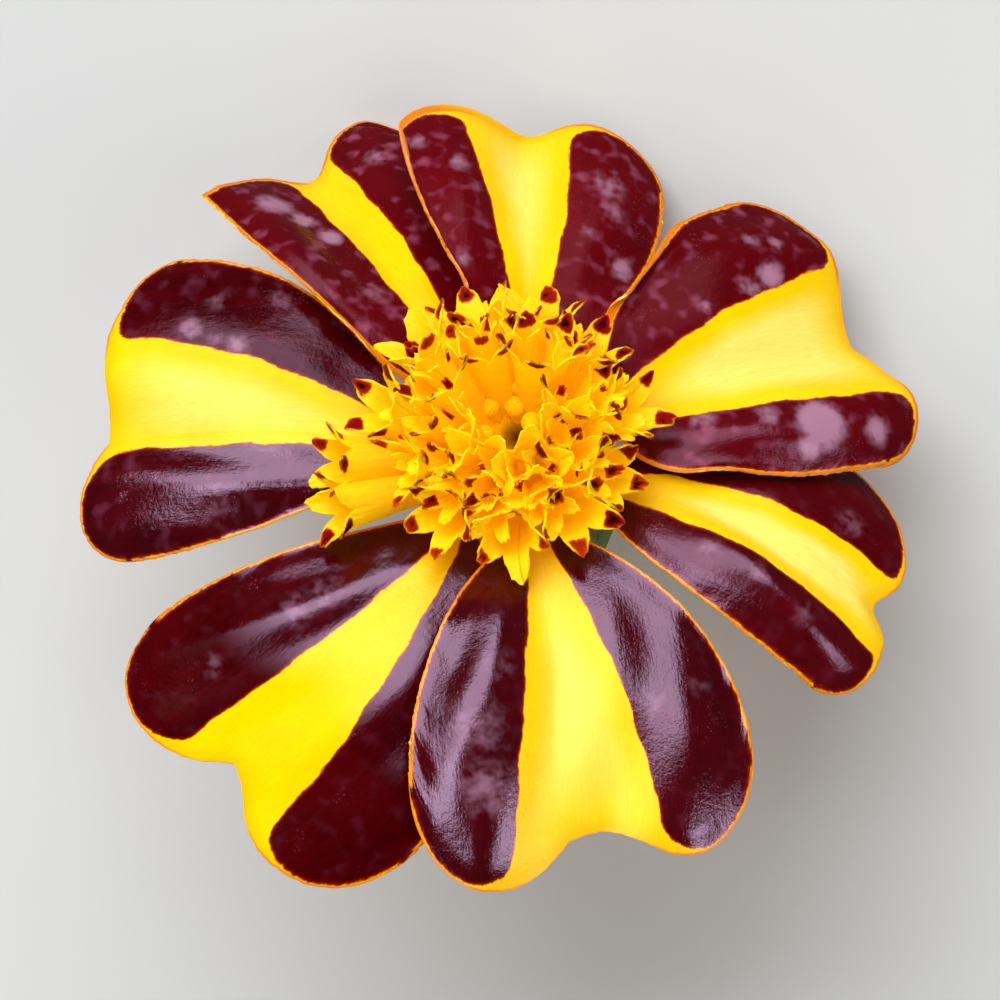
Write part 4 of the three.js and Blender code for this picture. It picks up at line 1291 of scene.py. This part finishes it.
class MARIGOLD_OT_stem(bpy.types.Operator):
    """Models the cut stub of stem with its swollen neck, which ends in the receptacle"""

    bl_idname = "marigold.stem"
    bl_label = "Stem"

    def execute(self, context):
        piece = tube("stem_stub", STEM_COLUMNS, STEM_ROWS, cap_foot=True, cap_mouth=True)
        angle, ring, middle = tube_places(piece)
        foot_middle = int(np.argmin(ring))
        radii, heights = profile_points(STEM_PROFILE, STEM_ROWS)
        ring = np.clip(ring, 0, STEM_ROWS - 1)
        ridge = np.cos(6 * angle)
        radius = np.where(middle, 0, radii[ring] * (1 + 0.03 * ridge))
        z = heights[ring] + np.where(middle & (ring > 0), 0.15, 0)
        move_points(piece, resting(round_axis(radius, angle, z), FLOOR_GAP))
        note(piece, "flat_mm", np.stack([angle * radii[ring], z, 0 * z], -1))
        share = np.where(middle, 0, 1)
        far = np.full_like(z, FAR_FROM_TEETH)
        note(piece, "zone_mm", np.stack([np.maximum(ridge, 0), far, share], -1))
        settings = context.scene.marigold_greens
        piece.data.materials.append(green_material("stem_green", settings, 0.5, False))
        piece.data.materials.append(cut_material(settings))
        for polygon in piece.data.polygons:
            if foot_middle in polygon.vertices[:]:
                polygon.material_index = 1
        face_outward(piece)
        finish_piece(piece, "stem", "stem", angle=60)
        return {"FINISHED"}


# Stage

# The camera's direction from the flower and its up direction, at the photograph's viewing angle
VIEW_FROM = Vector((-0.148, -0.2685, 0.9517)).normalized()
VIEW_UP = Vector((0.2787, -0.9345, -0.2205)).normalized()
VIEW_DISTANCE = 330.0
PIXELS_PER_MM = 18.6
PICTURE_PIXELS = 1000
FLOWER_PIXEL = (519, 462)
SENSOR_MM = 36.0
FLOOR_RADIUS = 3.0
FLOOR_SINK = 0.05
COOL = (0.93, 0.96, 1.0)
WARM = (1.0, 0.98, 0.95)
# The soft boxes round the flower: degrees, metres, the setting that gives the power and the share of it
SOFT_BOXES = {
    "key": {"azimuth": 20, "elevation": 42, "distance": 2.4, "width": 2.4, "height": 1.8,
            "power": ("key_power", 1), "colour": COOL},
    "fill_right": {"azimuth": 98, "elevation": 42, "distance": 2.7, "width": 2.4, "height": 2.7,
                   "power": ("fill_power", 1), "colour": WARM},
    "fill_left": {"azimuth": -104, "elevation": 42, "distance": 2.7, "width": 2.4, "height": 2.7,
                  "power": ("fill_power", 1), "colour": WARM},
    "fill_back": {"azimuth": 172, "elevation": 40, "distance": 2.7, "width": 2.4, "height": 2.4,
                  "power": ("fill_power", 0.7), "colour": WARM},
    "glint_front": {"azimuth": 14, "elevation": 34, "distance": 0.8, "width": 1.0, "height": 0.54,
                    "power": ("glint_power", 1.4), "colour": COOL, "tilt": 26, "mirrored": True},
    "glint_top": {"azimuth": 42, "elevation": 66, "distance": 0.8, "width": 0.3, "height": 0.3,
                  "power": ("glint_power", 0.3), "colour": COOL, "mirrored": True},
    "glint_side": {"azimuth": -66, "elevation": 30, "distance": 0.8, "width": 0.2, "height": 0.3,
                   "power": ("glint_power", 0.2), "colour": COOL, "mirrored": True},
}


def aim_at(thing, place, direction, up):
    """Puts a camera or light at a place so that its -Z looks along direction and its +Y is up."""
    back = -direction.normalized()
    right = up.cross(back).normalized()
    top = back.cross(right)
    turned = Matrix((right, top, back)).transposed().to_4x4()
    thing.matrix_world = Matrix.Translation(place) @ turned


def soft_light(name, centre, azimuth, elevation, distance, width, height, power, colour, tilt=0,
               mirrored=False):
    """A rectangular soft box that looks at the flower's middle, turned about its own line by tilt degrees.
    A mirrored box only makes highlights, and any other box only lights."""
    light = bpy.data.lights.new(name, "AREA")
    light.shape = "RECTANGLE"
    light.size = width
    light.size_y = height
    light.energy = power
    light.color = colour
    lamp = bpy.data.objects.new(name, light)
    bpy.context.collection.objects.link(lamp)
    turn = math.radians(azimuth)
    climb = math.radians(elevation)
    reach = math.cos(climb)
    way = Vector((math.sin(turn) * reach, -math.cos(turn) * reach, math.sin(climb)))
    up = Matrix.Rotation(math.radians(tilt), 3, way) @ Vector((0, 0, 1))
    aim_at(lamp, centre + way * distance, -way, up)
    lamp.visible_diffuse = not mirrored
    lamp.visible_glossy = mirrored


def floor_material(settings):
    """Plain pale floor with a faint mottle."""
    material, tree, shader = surface("floor_pale")
    place = object_place(tree)
    drift = use_group(tree, "Tone drift", place, 0.02)
    deeper = tuple(value * 0.97 for value in settings.floor_colour)
    fit(tree, shader, {
        "Base Color": colour_mix(tree, drift, settings.floor_colour, deeper), "Roughness": 0.85,
        "Specular IOR Level": 0.2})
    return material


class StageSettings(bpy.types.PropertyGroup):
    """Floor and light."""

    floor_colour: colour_setting("Floor", "Colour of the floor", 214, 214, 211)
    key_power: bpy.props.FloatProperty(
        name="Key light", description="Power of the large soft box", default=78.0, min=0, unit="POWER")
    fill_power: bpy.props.FloatProperty(
        name="Fill light", description="Power of the fill lights", default=19.8, min=0, unit="POWER")
    glint_power: bpy.props.FloatProperty(
        name="Glint light", description="Power of the box that the petals mirror", default=12.5, min=0,
        unit="POWER")


class MARIGOLD_OT_stage(bpy.types.Operator):
    """Adds the pale floor, the soft lights and the camera at the photograph's viewing angle"""

    bl_idname = "marigold.stage"
    bl_label = "Stage"

    def execute(self, context):
        settings = context.scene.marigold_stage
        bpy.ops.object.select_all(action="DESELECT")
        bpy.ops.mesh.primitive_circle_add(
            vertices=96, radius=FLOOR_RADIUS, fill_type="NGON", location=(0, 0, -FLOOR_SINK * MM))
        floor = start_piece("floor")
        floor.data.materials.append(floor_material(settings))
        floor.visible_glossy = False

        centre = Vector(REST_AT * MM)
        for name, box in SOFT_BOXES.items():
            setting, share = box["power"]
            soft_light(name, centre, **{**box, "power": getattr(settings, setting) * share})

        world = bpy.data.worlds.new("studio")
        world.use_nodes = True
        context.scene.world = world
        tree = world.node_tree
        backdrop = next(n for n in tree.nodes if n.type == "BACKGROUND")
        backdrop.inputs["Color"].default_value = (0.9, 0.93, 1.0, 1.0)
        backdrop.inputs["Strength"].default_value = 0.08

        camera = bpy.data.cameras.new("camera")
        camera.sensor_width = SENSOR_MM
        seen = PICTURE_PIXELS / PIXELS_PER_MM
        camera.lens = SENSOR_MM * VIEW_DISTANCE / seen
        camera.clip_start = 0.01
        camera.clip_end = 10
        viewer = bpy.data.objects.new("camera", camera)
        context.collection.objects.link(viewer)
        right = VIEW_UP.cross(VIEW_FROM).normalized()
        middle = PICTURE_PIXELS / 2
        across = (FLOWER_PIXEL[0] - middle) / PIXELS_PER_MM * MM
        down = (FLOWER_PIXEL[1] - middle) / PIXELS_PER_MM * MM
        aim = centre - right * across + VIEW_UP * down
        aim_at(viewer, aim + VIEW_FROM * VIEW_DISTANCE * MM, -VIEW_FROM, VIEW_UP)
        context.scene.camera = viewer
        context.scene.view_settings.view_transform = "Standard"
        return {"FINISHED"}


class VIEW3D_PT_marigold(bpy.types.Panel):
    """Lists the pieces of the marigold"""

    bl_label = "Marigold"
    bl_idname = "VIEW3D_PT_marigold"
    bl_space_type = "VIEW_3D"
    bl_region_type = "UI"
    bl_category = "Marigold"

    def draw(self, context):
        for piece in PIECE_OPERATORS:
            self.layout.operator(piece.bl_idname)
        scene = context.scene
        for settings in (scene.marigold_rays, scene.marigold_disc, scene.marigold_greens,
                         scene.marigold_stage):
            box = self.layout.box()
            for name in settings.__annotations__:
                box.prop(settings, name)


SETTINGS = {
    "marigold_rays": RayFloretSettings,
    "marigold_disc": DiscFloretSettings,
    "marigold_greens": GreenSettings,
    "marigold_stage": StageSettings,
}
PIECE_OPERATORS = (
    MARIGOLD_OT_ray_florets,
    MARIGOLD_OT_disc_florets,
    MARIGOLD_OT_heart,
    MARIGOLD_OT_involucre,
    MARIGOLD_OT_stem,
    MARIGOLD_OT_stage,
)


def register():
    for name, settings in SETTINGS.items():
        bpy.utils.register_class(settings)
        setattr(bpy.types.Scene, name, bpy.props.PointerProperty(type=settings))
    for piece in PIECE_OPERATORS:
        bpy.utils.register_class(piece)
    bpy.utils.register_class(VIEW3D_PT_marigold)


def unregister():
    bpy.utils.unregister_class(VIEW3D_PT_marigold)
    for piece in reversed(PIECE_OPERATORS):
        bpy.utils.unregister_class(piece)
    for name, settings in SETTINGS.items():
        delattr(bpy.types.Scene, name)
        bpy.utils.unregister_class(settings)


def main():
    register()
    bpy.ops.marigold.ray_florets()
    bpy.ops.marigold.disc_florets()
    bpy.ops.marigold.heart()
    bpy.ops.marigold.involucre()
    bpy.ops.marigold.stem()
    bpy.ops.marigold.stage()


if __name__ == "__main__":
    main()
